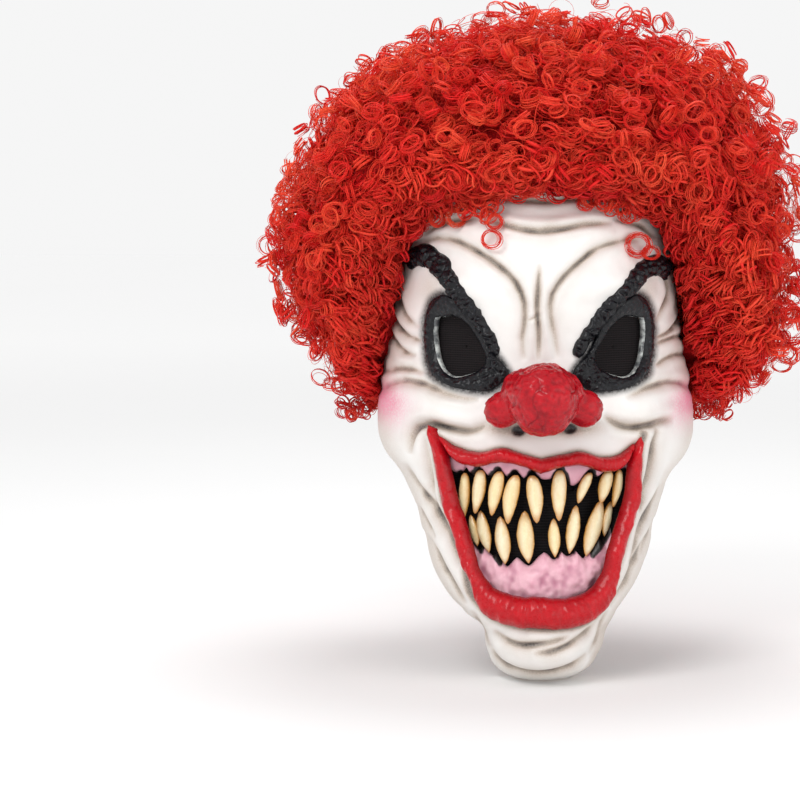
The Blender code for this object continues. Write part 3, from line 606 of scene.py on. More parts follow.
def black_rubber():
    look = Look("black_rubber", (0.006, 0.006, 0.008), 0.30, Coat_Weight=0.18, Coat_Roughness=0.12,
                Specular_IOR_Level=0.22)
    # painted sheen: lighter blue-grey patches stand in for glints on the gloss black
    sheen_patches = look.fit(look.noise(700.0, 4.0, 0.6), 0.58, 0.72)
    look.colour(look.mix(sheen_patches, (0.004, 0.004, 0.006), (0.030, 0.034, 0.046)))
    look.roughness(look.fit(look.noise(420.0, 3.0), 0.3, 0.7, 0.2, 0.5))
    look.bump(look.noise(520.0, 4.0, 0.65), 0.7, 0.5)
    return look.mat


def bead_grey():
    look = Look("bead_grey", (0.5, 0.52, 0.51), 0.4, Coat_Weight=0.2)
    smoke = look.fit(look.noise(200.0, 4.0, 0.6), 0.32, 0.62)
    look.colour(look.mix(smoke, (0.62, 0.65, 0.62), (0.07, 0.075, 0.08)))
    look.bump(look.noise(700.0, 3.0), 0.4, 0.2)
    return look.mat


def net_cloth(name, colour, pitch_mm):
    """Fine woven net: two sets of threads crossing, the level ones stronger."""
    look = Look(name, colour, 0.85, Specular_IOR_Level=0.15)
    bands = WAVE_SCALE / pitch_mm
    up, across = look.wave(bands, "Z"), look.wave(1.3 * bands, "X")
    thread = look.math("MAXIMUM", look.fit(up, 0.35, 0.9), look.fit(across, 0.5, 0.95, 0.0, 0.6))
    look.colour(look.mix(thread, tuple(0.25 * c for c in colour), colour))
    look.bump(thread, 0.6, 0.25)
    return look.mat


def gum_flesh():
    look = Look("gum_flesh", (0.78, 0.38, 0.45), 0.35, Coat_Weight=0.12, Coat_Roughness=0.2,
                Specular_IOR_Level=0.3)
    ink, shade_and_tone = look.attribute(0), look.attribute(1)
    pale = look.fit(look.noise(130.0, 4.0, 0.6), 0.35, 0.7)
    pink = look.mix(pale, (0.84, 0.50, 0.57), (0.74, 0.36, 0.45))
    # painted shade in the lower gum's fold hollows; on the upper gum an even darker tone
    pink = look.mix(shade_and_tone, pink, (0.50, 0.20, 0.28))
    look.colour(look.mix(ink, pink, (0.012, 0.010, 0.010)))
    look.bump(look.noise(600.0, 3.0), 0.35, 0.25)
    return look.mat


def tooth_enamel():
    """Aged ivory: cream in the middle, amber along the sides as painted shade of the round tooth, and brown
    at the ends.
    """
    look = Look("tooth_enamel", (0.9, 0.78, 0.45), 0.24, Coat_Weight=0.45, Coat_Roughness=0.12)
    edge, end, odd = (look.attribute(k) for k in range(3))
    body = look.mix(odd, (0.93, 0.86, 0.62), (0.91, 0.78, 0.46))
    stain = look.fit(look.noise(240.0, 4.0, 0.6, stretch=(1.6, 1.6, 0.4)), 0.42, 0.75, 0.0, 0.55)
    body = look.mix(stain, body, (0.86, 0.62, 0.25))
    # painted shade: amber where the tooth turns away to its sides
    body = look.mix(edge, body, (0.58, 0.27, 0.035))
    look.colour(look.mix(end, body, (0.52, 0.20, 0.025)))
    look.roughness(look.fit(look.noise(500.0, 2.0), 0.3, 0.7, 0.16, 0.32))
    look.bump(look.noise(420.0, 3.0, stretch=(2.2, 2.2, 0.35)), 0.35, 0.25)
    return look.mat


def curl_fibre(name, shade_and_tone, middle, bright):
    """Nylon wig fibre: a tint for each strand, darker red as painted shade where a strand lies deeper under
    the outside, with a faint gloss.
    """
    look = Look(name, middle, 0.5, Specular_IOR_Level=0.16)
    tint, depth = look.attribute(0), look.attribute(1)
    colour = look.mix(tint, middle, bright)
    streak = look.fit(look.noise(900.0, 2.0), 0.35, 0.65, 0.0, 0.35)
    colour = look.mix(streak, colour, shade_and_tone)
    # painted shade: darker red for strands deep in the afro
    look.colour(look.mix(depth, colour, shade_and_tone))
    look.roughness(look.fit(look.noise(300.0, 2.0), 0.3, 0.7, 0.4, 0.6))
    return look.mat


def hair_shadow():
    look = Look("hair_shadow", (0.6, 0.012, 0.018), 0.85, Specular_IOR_Level=0.1)
    swirl = look.noise(260.0, 5.0, 0.7, distortion=3.0)
    # painted shade: darker crimson than the curls, for the shaded hair deep in the afro
    look.colour(look.mix(look.fit(swirl, 0.35, 0.65), (0.42, 0.006, 0.012), (0.78, 0.022, 0.022)))
    look.bump(swirl, 0.8, 2.0)
    return look.mat


def woven_tape():
    look = Look("woven_tape", (0.02, 0.02, 0.022), 0.75, Sheen_Weight=0.3)
    rib = look.wave(210.0, "Z")
    look.colour(look.mix(look.fit(rib, 0.2, 0.9), (0.010, 0.010, 0.011), (0.045, 0.045, 0.05)))
    look.bump(rib, 0.6, 0.4)
    return look.mat


def floor_paper():
    """Pale paper that glows a little far from the mask, so that it runs into the sky."""
    look = Look("floor_paper", (0.93, 0.93, 0.93), 0.9)
    look.colour(look.mix(look.noise(3.0, 2.0), (0.92, 0.92, 0.92), (0.94, 0.94, 0.94)))
    place = look.tree.nodes.new("ShaderNodeNewGeometry")
    distance = look.tree.nodes.new("ShaderNodeVectorMath")
    distance.operation = "LENGTH"
    look.set(distance, 0, place.outputs["Position"])
    glow = look.fit(distance.outputs["Value"], 0.4, 3.1, 0.0, 0.24)
    glow.node.interpolation_type = "SMOOTHSTEP"
    look.set(look.shader, "Emission Color", (1.0, 1.0, 1.0, 1.0))
    look.set(look.shader, "Emission Strength", glow)
    return look.mat


# ---- outlines -----------------------------------------------------------------------------------------
def eye_outline(side, count, points=EYE_OUTLINE):
    line = resample(points, count, closed=True)
    return np.column_stack([-side * (EYE_CENTRE[0] + line[:, 0]), EYE_CENTRE[1] + line[:, 1]])


def eye_hole(side, count):
    """Outline of the eye opening, wider on the side away from the nose."""
    hole = eye_outline(side, count)
    normal = outward(hole)
    away = step_between(normal @ np.array([side * 0.95, -0.3]), 0.0, 0.8)
    return hole + normal * (EYE_WIDENING * away)[:, None]


def tilt(points):
    """Outlines of the mouth, drawn level, as they sit on the face."""
    points = np.array(points, float)
    drawn_in = step_between(points[:, 0], 38.0, 58.0) * step_between(points[:, 1], -92.0, -56.0)
    points[:, 1] -= MOUTH_TILT * points[:, 0]
    points[:, 0] -= 3.6 * drawn_in
    return points


def lip_edge(half, count):
    return tilt(resample(whole(half), count))


def mouth_hole(count):
    """Cut edge of the latex round the mouth, which lies hidden behind the lips."""
    outline = resample(whole(LIP_INNER) + whole(MOUTH_TOP)[::-1], count, closed=True)
    grown = outline + outward(outline) * LIP_OVERLAP
    highest = np.interp(np.abs(grown[:, 0]), *MOUTH_CEILING.T)
    grown[:, 1] = np.minimum(grown[:, 1], highest)
    return tilt(grown)


# ---- the face -----------------------------------------------------------------------------------------
def sculpt(points):
    """Depth of the wrinkles and their grey, partly airbrush and partly painted shade, at flat points (x,
    height).
    """
    rise = np.zeros(len(points))
    shade = np.zeros(len(points))
    for depth, width, darkness, line in FOLDS:
        line = resample(line, 18)
        low, high = line.min(axis=0) - 5 * width, line.max(axis=0) + 5 * width
        near = np.all((points > low) & (points < high), axis=1)
        if not near.any():
            continue
        gap, _, along = nearest_on(points[near], line)
        fade = np.sin(math.pi * np.clip(along, 0.0, 1.0)) ** 0.55
        lifted = bell(gap, 2.4 * width, 1.6 * width)
        rise[near] += fade * depth * (0.45 * lifted - bell(gap, 0.0, width))
        # the grey along each wrinkle is partly airbrush and partly painted shade of its groove
        soft = 0.80 * bell(gap, 0.0, 0.75 * width) + 0.30 * bell(gap, 0.0, 2.8 * width)
        shade[near] = np.maximum(shade[near], fade * darkness * soft)
    for x, z in NOSTRILS:
        rise -= 2.6 * patch(points[:, 0], points[:, 1], x, z, 3.6, 2.8)
    return rise, shade


def paint_and_shade(points, shade):
    """Paint channels of the face: grey in the wrinkles, partly airbrush and partly painted shade, painted
    shade on the sides, in the eye sockets, along the lips and under the nose, pink cheeks, and black round
    the eyes and in the nostrils.
    """
    x, z = points.T
    # painted shade: darker towards the face's sides, where it turns away from the light
    side_and_socket_shade = step_between(np.abs(x) / section(z)[0], 0.80, 1.02) * 0.34
    blush, ink = np.zeros(len(points)), np.zeros(len(points))
    for side in (-1, 1):
        # painted shade in the eye socket, between the brow and the eye hole
        side_and_socket_shade = np.maximum(side_and_socket_shade, 0.26 * patch(x, z, side * 62.0, 31.0, 9.0, 10.0))
        blush = np.maximum(blush, patch(x, z, side * 92.0, -37.0, 15.0, 12.0))
        outline = eye_outline(side, 64, RIM_OUTLINE)
        gap, _, _ = nearest_on(points, outline, closed=True)
        halo = 1.0 - step_between(gap, 0.0, 5.0)
        halo[inside_outline(points, outline)] = 1.0
        ink = np.maximum(ink, halo)
    shade = np.clip(np.maximum(shade, side_and_socket_shade), 0.0, 1.0)
    for hole_x, hole_z in NOSTRILS:
        away = np.hypot((x - hole_x) / 4.2, (z - hole_z) / 3.2)
        ink = np.maximum(ink, 1.0 - step_between(away, 0.8, 1.15))
    # painted shade on the face along the lower lip's outer edge and the upper lip's top edge
    lip_shadow_lines = ((lip_edge(LIP_OUTER, 60), 2.6, 0.8), (upper_lip_edge(UPPER_LIP_TOP, 60), 2.0, 0.7))
    for line, spread, strength in lip_shadow_lines:
        gap, _, _ = nearest_on(points, line)
        shade = np.maximum(shade, strength * bell(gap, 0.0, spread))
    # painted shadow of the nose on the upper lip
    nose_shadow = np.exp(-((x / 34.0) ** 4) - ((z + 47.0) / 5.0) ** 2)
    shade = np.maximum(shade, 0.7 * nose_shadow)
    return np.column_stack([shade, blush, ink])


def upper_lip_edge(half, count):
    """An edge of the upper lip right across the face, from its right half."""
    x = np.linspace(-half[-1][0], half[-1][0], count)
    half_x, half_z = np.array(half).T
    line = tilt(np.column_stack([x, smooth_curve(np.abs(x), half_x, half_z)]))
    return line + np.array([0.0, UPPER_LIP_SHIFT])


def openings():
    """Cut edges of the latex: both eyes and the mouth."""
    eyes = [eye_hole(side, 64) for side in (-1, 1)]
    return [eye + outward(eye) * EYE_OVERLAP for eye in eyes] + [mouth_hole(120)]


def face_sheet(columns, rows, offset, detailed):
    """Grid over the face with the eye and mouth holes left out and their edges pulled to shape."""
    turns = np.linspace(-math.pi / 2, math.pi / 2, columns)
    heights = np.linspace(TOP, CHIN, rows)
    turn, z = np.meshgrid(turns, heights)
    turn, z = turn.ravel(), z.ravel()
    flat = np.column_stack([bare_skin(turn, z)[:, 0], z])
    hole = np.zeros(len(flat), bool)
    snapped = flat.copy()
    for outline in openings():
        inside = inside_outline(flat, outline)
        _, nearest, _ = nearest_on(flat[inside], outline, closed=True)
        snapped[inside] = nearest
        hole |= inside
    quads = grid_quads(rows, columns)
    quads = quads[~hole[quads].all(axis=1)]
    turn = np.where(hole, turn_at(snapped[:, 0], snapped[:, 1]), turn)
    z = snapped[:, 1]
    rise, shade = sculpt(snapped)
    if not detailed:
        rise = 0.8 * rise
    points = skin_at_turn(turn, z, offset + rise)
    if detailed:
        points += roughen(points, 7.0, 2.0)[:, None] * np.array([0.0, 0.35, 0.0])
        shade = shade * (0.8 + 0.45 * roughen(points, 9.0, 5.0))
    used = np.unique(quads)
    place = np.zeros(len(points), int)
    place[used] = np.arange(len(used))
    return points[used], place[quads], paint_and_shade(snapped[used], shade[used])


def build_face():
    """The painted outside, and the raw inside with the cut edges of the wall."""
    points, quads, paint = face_sheet(300, 350, 0.0, True)
    middle = points[quads[:, 0]] - points[quads[:, 0]].mean(axis=0)
    across = np.cross(points[quads[:, 1]] - points[quads[:, 0]], points[quads[:, 3]] - points[quads[:, 0]])
    if np.sum(across * middle) < 0:
        quads = quads[:, ::-1]
    make_piece("face_outside", points, quads, painted_latex(), ("face_skin",), "white_latex", paint)
    inner, inner_quads, _ = face_sheet(110, 130, -WALL, False)
    inner_quads = inner_quads if (quads[0, 1] < quads[0, 0]) else inner_quads[:, ::-1]
    verts, faces = [inner], [inner_quads]
    total = len(inner)
    for outline in openings():
        turn = turn_at(outline[:, 0], outline[:, 1])
        total = add_edge_strip(verts, faces, total, turn, outline[:, 1], True)
    side = np.linspace(TOP, CHIN, 150)
    around = np.linspace(-math.pi / 2, math.pi / 2, 110)
    for turn, z in ((np.full(150, -math.pi / 2), side), (np.full(150, math.pi / 2), side),
                    (around, np.full(110, TOP)), (around, np.full(110, CHIN))):
        total = add_edge_strip(verts, faces, total, turn, z, False)
    make_piece("face_inside", np.vstack(verts), np.vstack(faces), raw_latex(), (), "white_latex")


def add_edge_strip(verts, faces, total, turn, z, closed):
    """Strip across the latex wall along one of its cut edges."""
    rise, _ = sculpt(np.column_stack([bare_skin(turn, z)[:, 0], z]))
    outer = skin_at_turn(turn, z, rise)
    inner = skin_at_turn(turn, z, 0.8 * rise - WALL)
    verts.append(np.vstack([outer, inner]))
    faces.append(grid_quads(2, len(z), wrap_columns=closed, first=total))
    return total + 2 * len(z)


def nose_reach(rays):
    """How far the blended balls reach along each ray from the nose's centre, found by halving."""
    near, far = np.full(len(rays), 1.0), np.full(len(rays), 48.0)
    for _ in range(22):
        reach = (near + far) / 2
        at = NOSE_CENTRE + rays * reach[:, None]
        gaps = [np.linalg.norm(at - np.array(centre), axis=1) - radius for centre, radius in NOSE_BALLS]
        blend = -NOSE_BLEND * np.log(sum(np.exp(-gap / NOSE_BLEND) for gap in gaps))
        face_y = skin(at[:, 0], at[:, 2])[:, 1]
        inside = (blend < 0) & (at[:, 1] < face_y + 1.0)
        near = np.where(inside, reach, near)
        far = np.where(inside, far, reach)
    return near


def build_nose():
    """Bulb and side lobes blended together, pitted and wrinkled all over."""
    rows, columns = 170, 300
    up = np.linspace(-math.pi / 2, math.pi / 2, rows)
    round_about = np.linspace(-math.pi, math.pi, columns, endpoint=False)
    up, turn = np.meshgrid(up, round_about, indexing="ij")
    rays = np.stack([np.cos(up) * np.sin(turn), -np.cos(up) * np.cos(turn), np.sin(up)], axis=-1)
    rays = rays.reshape(-1, 3)
    points = NOSE_CENTRE + rays * nose_reach(rays)[:, None]
    cells = pebbles(points, 8.5, 1.0)
    pits = roughen(points, 2.6, 4.0)
    lumps = roughen(points, 10.0, 6.0)
    dents = roughen(points, 5.0, 9.0)
    creased = step_between(roughen(points, 14.0, 3.0), -0.15, 0.1)
    creases = bell(roughen(points, 9.0, 12.0), 0.0, 0.07) * creased
    rise = 0.35 * (cells - 0.6) + 0.50 * pits + 1.2 * lumps + 0.4 * dents - 0.8 * creases
    free = step_between(skin(points[:, 0], points[:, 2])[:, 1] - points[:, 1], 0.0, 6.0)
    points = points + rays * (rise * free)[:, None]
    # painted shade: darker in the pits, the dips between lumps and the creases
    hollow_shade = np.clip(0.25 - 0.9 * pits - 0.5 * lumps + 0.7 * creases, 0.0, 1.0) * 0.6
    paint = np.column_stack([hollow_shade, hollow_shade * 0, hollow_shade * 0])
    quads = out_facing(points, grid_quads(rows, columns, wrap_columns=True))
    red = glossy_red("nose_enamel", (0.52, 0.005, 0.014), (0.16, 0.0, 0.005), 2.2)
    make_piece("nose_bulb", points, quads, red, ("nose",), "red_gloss", paint)


def build_lips():
    red = glossy_red("lip_enamel", (0.56, 0.006, 0.013), (0.16, 0.0, 0.004), 3.0)
    across = np.linspace(0.0, 1.0, 30)
    build_lower_lip(red, across)
    build_upper_lip(red, across)


def make_lip(word, edge_a, edge_b, rise, red):
    """A lip's roll between two edges, darkened with painted shade where it meets the face."""
    verts, quads, height = band(edge_a, edge_b, 0.0, rise, 0.55)
    # painted shade: darker towards the foot of the roll, where it meets the face
    painted_shade = np.clip(1.0 - height * 1.25, 0.0, 1.0) * 0.8
    paint = np.column_stack([painted_shade, painted_shade, painted_shade])
    make_piece(f"{word}_lip_roll", verts, quads, red, (f"{word}_lip",), "lip_red", paint)


def build_lower_lip(red, across):
    """Lower lip and its two long side strips in one roll, with blunt ends."""
    count = 420
    inner, outer = lip_edge(LIP_INNER, count), lip_edge(LIP_OUTER, count)
    s = np.linspace(0.0, 1.0, count)
    wobble = ripple(s, 46.0, 1.7, 0.3)
    middle = (inner + outer) / 2
    inner = middle + (inner - middle) * (1.10 + 0.10 * wobble)[:, None]
    outer = middle + (outer - middle) * (1.10 - 0.10 * wobble)[:, None]
    outer[:, 0] += 4.2 * bell(outer[:, 1], -141.0, 9.0) * (outer[:, 0] < -10.0)
    taper = step_between(np.minimum(s, 1 - s), 0.0, 0.018)
    inner[:, 1] += 2.6 * step_between(s, 0.965, 1.0)
    outer[:, 0] -= 1.4 * step_between(s, 0.93, 1.0)
    blunt = np.where(s < 0.5, 0.35, 0.85)
    narrowed = (blunt + (1.0 - blunt) * taper)[:, None]
    inner = middle + (inner - middle) * narrowed
    outer = middle + (outer - middle) * narrowed
    bottom = bell(s, 0.5, 0.13)[:, None]
    grooves = rippled(s, across, 95.0, 1.3, 4.0)
    dents = rippled(s, across, 40.0, 2.4, 9.0)
    rise = 7.4 + 1.3 * bottom + (0.5 + 1.5 * bottom) * grooves + 1.1 * dents
    rise *= 0.45 + 0.55 * taper[:, None]
    make_lip("lower", inner, outer, rise, red)


def build_upper_lip(red, across):
    count = 300
    top, low = upper_lip_edge(UPPER_LIP_TOP, count), upper_lip_edge(UPPER_LIP_BOTTOM, count)
    s = np.linspace(0.0, 1.0, count)
    wobble = ripple(s, 24.0, 6.1, 2.3)
    top[:, 1] += 0.7 + 0.6 * wobble
    low[:, 1] -= 0.6 + 0.6 * np.roll(wobble, 17)
    taper = step_between(np.minimum(s, 1 - s), 0.0, 0.05)
    rise = (6.4 + 0.9 * rippled(s, across, 60.0, 1.5, 14.0)) * (0.55 + 0.45 * taper[:, None])
    make_lip("upper", low, top, rise, red)


def lumpy_rise(edge_a, edge_b, base, across, lump_mm, amount, seed):
    """Rise of a strip made of lumps pressed together."""
    line = strip_between(edge_a, edge_b, across)
    points = skin(line[..., 0], line[..., 1])
    return base + amount * (pebbles(points, lump_mm, seed) - 0.6) + 0.5 * roughen(points, 1.6, seed + 3.0)


def build_brows(rubber):
    count = 220
    s = np.linspace(0.0, 1.0, count)
    taper = step_between(s, -0.05, 0.10) * (1.0 - 0.25 * step_between(s, 0.55, 1.0))
    taper = taper * np.sqrt(np.clip((1.02 - s) / 0.06, 0.0, 1.0))
    broad = 5.0 + 1.6 * bell(s, 0.16, 0.13)
    for points, seed, word in ((LEFT_BROW, 2.0, "left"), (RIGHT_BROW, -2.0, "right")):
        line = resample(points, count)
        along = unit(np.gradient(line, axis=0))
        side = np.column_stack([-along[:, 1], along[:, 0]])
        a = line + side * ((broad + 1.3 * ripple(s, 26.0, seed, 0.5)) * taper)[:, None]
        b = line - side * ((broad + 1.3 * ripple(s, 26.0, seed, 7.5)) * taper)[:, None]
        rise = lumpy_rise(a, b, 4.8, 28, 5.2, 2.4, seed) * np.maximum(taper, 0.4)[:, None]
        verts, quads, _ = band(a, b, 0.0, rise, 0.5)
        make_piece(f"{word}_brow_strip", verts, quads, rubber, (f"{word}_brow",), "black_gloss")


def matched(line, other):
    """The points of a closed line, started where they pair best with the points of another."""
    gaps = [np.sum((np.roll(other, -k, axis=0) - line) ** 2) for k in range(len(line))]
    return np.roll(other, -int(np.argmin(gaps)), axis=0)


def build_eyes(rubber):
    """For each eye the black surround, the pale bead inside it and the net behind the hole."""
    grey = bead_grey()
    cloth = net_cloth("eye_net", (0.020, 0.016, 0.017), 1.3)
    for side, word in ((-1, "left"), (1, "right")):
        hole = eye_hole(side, 240)
        normal = outward(hole)
        build_surround(side, word, hole, rubber)
        to_brow = normal @ np.array([-side * TO_BROW[0], TO_BROW[1]])
        build_bead(word, hole, normal, step_between(-to_brow, -0.15, 0.45), grey)
        build_eye_net(word, hole, normal, cloth)


def build_surround(side, word, hole, rubber):
    """Black ring round the eye hole, thickest and lumpiest in the wedge beside the nose."""
    outer = matched(hole, eye_outline(side, len(hole), RIM_OUTLINE))
    s = np.linspace(0.0, 2 * math.pi, len(hole), endpoint=False)
    ragged = np.array([noise.noise(Vector((math.cos(v) * 2.4, math.sin(v) * 2.4, side * 5.0))) for v in s])
    outer = outer + outward(outer) * (0.9 * ragged)[:, None]
    corner = np.array([-side * (EYE_CENTRE[0] + 21.0), -18.0])
    wedge = bell(np.linalg.norm(outer - corner, axis=1), 0.0, 13.0)
    lumps = lumpy_rise(hole, outer, 0.0, 26, 4.6, 1.0, side * 4.0 + 9.0)
    rise = 2.7 + lumps * (0.45 + 1.6 * wedge)[:, None] + 1.6 * wedge[:, None]
    verts, quads, _ = band(hole, outer, 0.0, rise, 0.45, path_closed=True)
    make_piece(f"{word}_eye_surround", verts, quads, rubber, (f"{word}_eye_rim",), "black_gloss")


def build_bead(word, hole, normal, away, grey):
    """Pale raised edge inside the eye hole, along its outer and lower side."""
    a = np.linspace(0.0, 2 * math.pi, 10, endpoint=False)
    radius = 0.2 + 0.95 * away
    middle = hole + normal * (0.1 + 0.6 * away)[:, None]
    rings = []
    for (x, z), (nx, nz), r in zip(middle, normal, radius):
        rings.append(skin(x + nx * r * np.cos(a), z + nz * r * np.cos(a), -0.6 + 1.7 * r * np.sin(a)))
    verts, quads = solid_from_rings(np.array(rings), path_closed=True)
    make_piece(f"{word}_eye_bead", verts, quads, grey, (), "black_gloss")


def disc(rings):
    """Points and quads of a sheet through rings, from the small first ring, which is closed, outwards."""
    rings = np.array(rings)
    count, around = rings.shape[:2]
    quads = np.vstack([grid_quads(count, around, wrap_columns=True), end_quads(around)])
    return rings.reshape(-1, 3), quads


def add_cloth(obj, thickness):
    obj.modifiers.new("cloth", "SOLIDIFY").thickness = thickness


def build_eye_net(word, hole, normal, cloth):
    outline = hole + normal * 3.5
    middle = outline.mean(axis=0)
    rings = []
    for share in np.linspace(0.02, 1.0, 24):
        line = middle + (outline - middle) * share
        sag = 1.6 * (1 - share**2)
        rings.append(skin(line[:, 0], line[:, 1], -WALL - 1.3 - sag))
    net = make_piece(f"{word}_eye_net", *disc(rings), cloth, (f"{word}_eye_mesh",), "black_mesh")
    add_cloth(net, 0.0005)


def tooth_fullness(along, word):
    """Share of its full width that a tooth has along it, from root to tip."""
    column = 1 if word == "upper" else 2
    return np.clip(smooth_curve(along, TOOTH_SHAPE[:, 0], TOOTH_SHAPE[:, column]), 0.03, 1.0)


def build_teeth():
    """Round fangs, each a little bowed, uneven and of its own shade."""
    ivory = tooth_enamel()
    rng = np.random.default_rng(SEED)
    steps, corners = 48, 36
    around = np.linspace(0.0, 2 * math.pi, corners, endpoint=False)
    squarish = np.sign(np.sin(around)) * np.abs(np.sin(around)) ** 0.8
    along = np.linspace(0.0, 1.0, steps) ** 0.9
    # painted shade: the amber grows towards the sides, where the round tooth turns away
    edge = np.tile(np.abs(np.cos(around)) ** 2.0, steps)
    near_end = np.maximum(step_between(along, 0.72, 1.0), 1 - step_between(along, 0.0, 0.16))
    ends = np.repeat(near_end, corners)
    rows = (("upper", UPPER_TEETH, UPPER_TOOTH_SEAT), ("lower", LOWER_TEETH, LOWER_TOOTH_SEAT))
    for word, row, seat in rows:
        fullness = tooth_fullness(along, word)
        for number, (x, root, tip, width, lean) in enumerate(row, 1):
            bow = 1.8 * (rng.random() - 0.5) * np.sin(math.pi * along)
            rings = []
            for s, full, bend in zip(along, fullness, bow):
                ring_x = x + lean * s + bend + width / 2 * full * np.cos(around)
                height = np.full_like(ring_x, root + (tip - root) * s)
                rings.append(skin(ring_x, height, seat + TOOTH_DEPTH / 2 * full * 1.15 * squarish))
            verts, quads = solid_from_rings(np.array(rings))
            verts = verts + roughen(verts, 3.5, number)[:, None] * np.array([0.2, 0.3, 0.0])
            odd = np.full(len(verts), rng.random())
            paint = np.column_stack([0.95 * edge, 0.85 * ends, odd])
            name = f"{word}_tooth_{number}"
            make_piece(f"{name}_enamel", verts, quads, ivory, (name,), "tooth_ivory", paint)


def tooth_ink(points):
    """1 close round every tooth, where black paint outlines it on the gums."""
    ink = np.zeros(len(points))
    for word, row in (("upper", UPPER_TEETH), ("lower", LOWER_TEETH)):
        for x, root, tip, width, lean in row:
            line = np.array([(x, root), (x + lean, tip)])
            gap, _, along = nearest_on(points, line)
            beside = gap - width / 2 * tooth_fullness(along, word)
            ink = np.maximum(ink, 1.0 - step_between(beside, 0.9, 1.7))
    return ink


def build_gums():
    flesh = gum_flesh()
    build_upper_gum(flesh)
    build_lower_gum(flesh)


def build_upper_gum(flesh):
    """Pink strip under the upper lip, scalloped round the roots and fuller at one gap."""
    x = np.linspace(-54.0, 54.0, 300)
    scallop = np.zeros_like(x)
    for tooth_x, _, _, width, _ in UPPER_TEETH:
        scallop = np.maximum(scallop, bell(x, tooth_x, 0.36 * width))
    fuller = 4.0 * bell(x, 20.5, 5.0)
    low = np.column_stack([x, -76.2 - fuller + 4.6 * scallop])
    top = np.column_stack([x, np.full_like(x, -58.6)])
    rise = np.tile(4.2 + 0.9 * scallop[:, None], (1, 22))
    verts, quads, _ = band(low, top, -7.6, rise, 0.5)
    ink = tooth_ink(verts[:, [0, 2]])
    paint = np.column_stack([ink, 0.3 * (1 - ink), ink])
    make_piece("upper_gum_flesh", verts, quads, flesh, ("upper_gum",), "gum_pink", paint)


def build_lower_gum(flesh):
    """Broad wrinkled flesh from the lower roots down behind the lower lip."""
    x = np.linspace(-45.0, 47.0, 300)
    roots_x, roots_z = np.array(LOWER_TEETH)[:, :2].T
    crest = np.interp(x, [-45.0, *roots_x, 47.0], [-112.0, *roots_z, -104.0])
    at_tooth = np.zeros_like(x)
    for tooth_x, _, _, width, _ in LOWER_TEETH:
        at_tooth = np.maximum(at_tooth, bell(x, tooth_x, 0.55 * width))
    high = np.column_stack([x, crest + 5.0 - 6.5 * at_tooth])
    base = np.column_stack([np.where(x > 0, 0.93, 0.88) * x, -153.0 + 0.004 * x**2])
    grid = strip_between(high, base, 40)
    points = skin(grid[..., 0], grid[..., 1], -8.0)
    folds = roughen(points * np.array([1.0, 1.0, 0.55]), 7.0, 3.0) + 0.5 * roughen(points, 3.5, 8.0)
    verts, quads, _ = band(high, base, -12.8, 7.4 + 1.7 * folds, 0.45)
    ink = tooth_ink(verts[:, [0, 2]])
    # painted shade: darker mauve in the hollows between the folds
    shade_and_tone = np.clip(-np.concatenate([0 * folds, folds[:, ::-1]], axis=1).reshape(-1) * 1.8, 0.0, 1.0)
    paint = np.column_stack([ink, shade_and_tone, ink])
    make_piece("lower_gum_flesh", verts, quads, flesh, ("lower_gum",), "gum_pink", paint)


def build_mouth_lining():
    """Black cloth pan behind the teeth, its edge glued to the latex all round the mouth."""
    cloth = net_cloth("mouth_cloth", (0.014, 0.012, 0.013), 1.6)
    outline = mouth_hole(140)
    outline = outline + outward(outline) * 6.0
    middle = outline.mean(axis=0)
    rings = []
    for share in np.linspace(0.02, 1.0, 44):
        line = middle + (outline - middle) * share
        rings.append(skin(line[:, 0], line[:, 1], -16.0 + 13.0 * step_between(share, 0.84, 1.0)))
    verts, quads = disc(rings)
    verts = verts + roughen(verts, 22.0, 3.0)[:, None] * np.array([0.0, 0.8, 0.0])
    lining = make_piece("mouth_lining", verts, quads, cloth, ("mouth_backing",), "black_cloth")
    add_cloth(lining, 0.0008)


# ---- the wig ------------------------------------------------------------------------------------------
def directions(turn, rise):
    """Unit vectors by degrees round from the front and degrees up."""
    turn, rise = np.radians(turn), np.radians(rise)
    across, ahead = np.sin(turn) * np.cos(rise), -np.cos(turn) * np.cos(rise)
    return np.stack([across, ahead, np.sin(rise) + 0 * turn], axis=-1)


def hair_reach(turn, rise):
    """Radius of the afro's smooth outside from the hair's centre."""
    facing = np.cos(np.radians(turn))
    sides, front, back = (smooth_curve(rise, HAIR_REACH[:, 0], HAIR_REACH[:, k]) for k in (1, 2, 3))
    return sides + (np.where(facing > 0, front, back) - sides) * np.abs(facing) ** 1.5


def lowest_rise(turn):
    """Lowest elevation in degrees that carries hair."""
    away = np.abs((turn + 180.0) % 360.0 - 180.0)
    return np.interp(away, HAIRLINE[:, 0], HAIRLINE[:, 1])


def clear_of_face(points, room):
    """True where a point is at least `room` mm outside the latex."""
    x, y, z = points.T
    half, front, rear = section(np.clip(z, CHIN, TOP))
    ratio = np.clip(1 - np.abs(x / (half + room)) ** SECTION_POWER, 0.0, 1.0)
    face_y = rear - (front + rear + room) * ratio ** (1 / SECTION_POWER)
    within = (np.abs(x) < half + room) & (y > face_y - 2.0) & (y < rear + room) & (z < TOP + room)
    return ~within


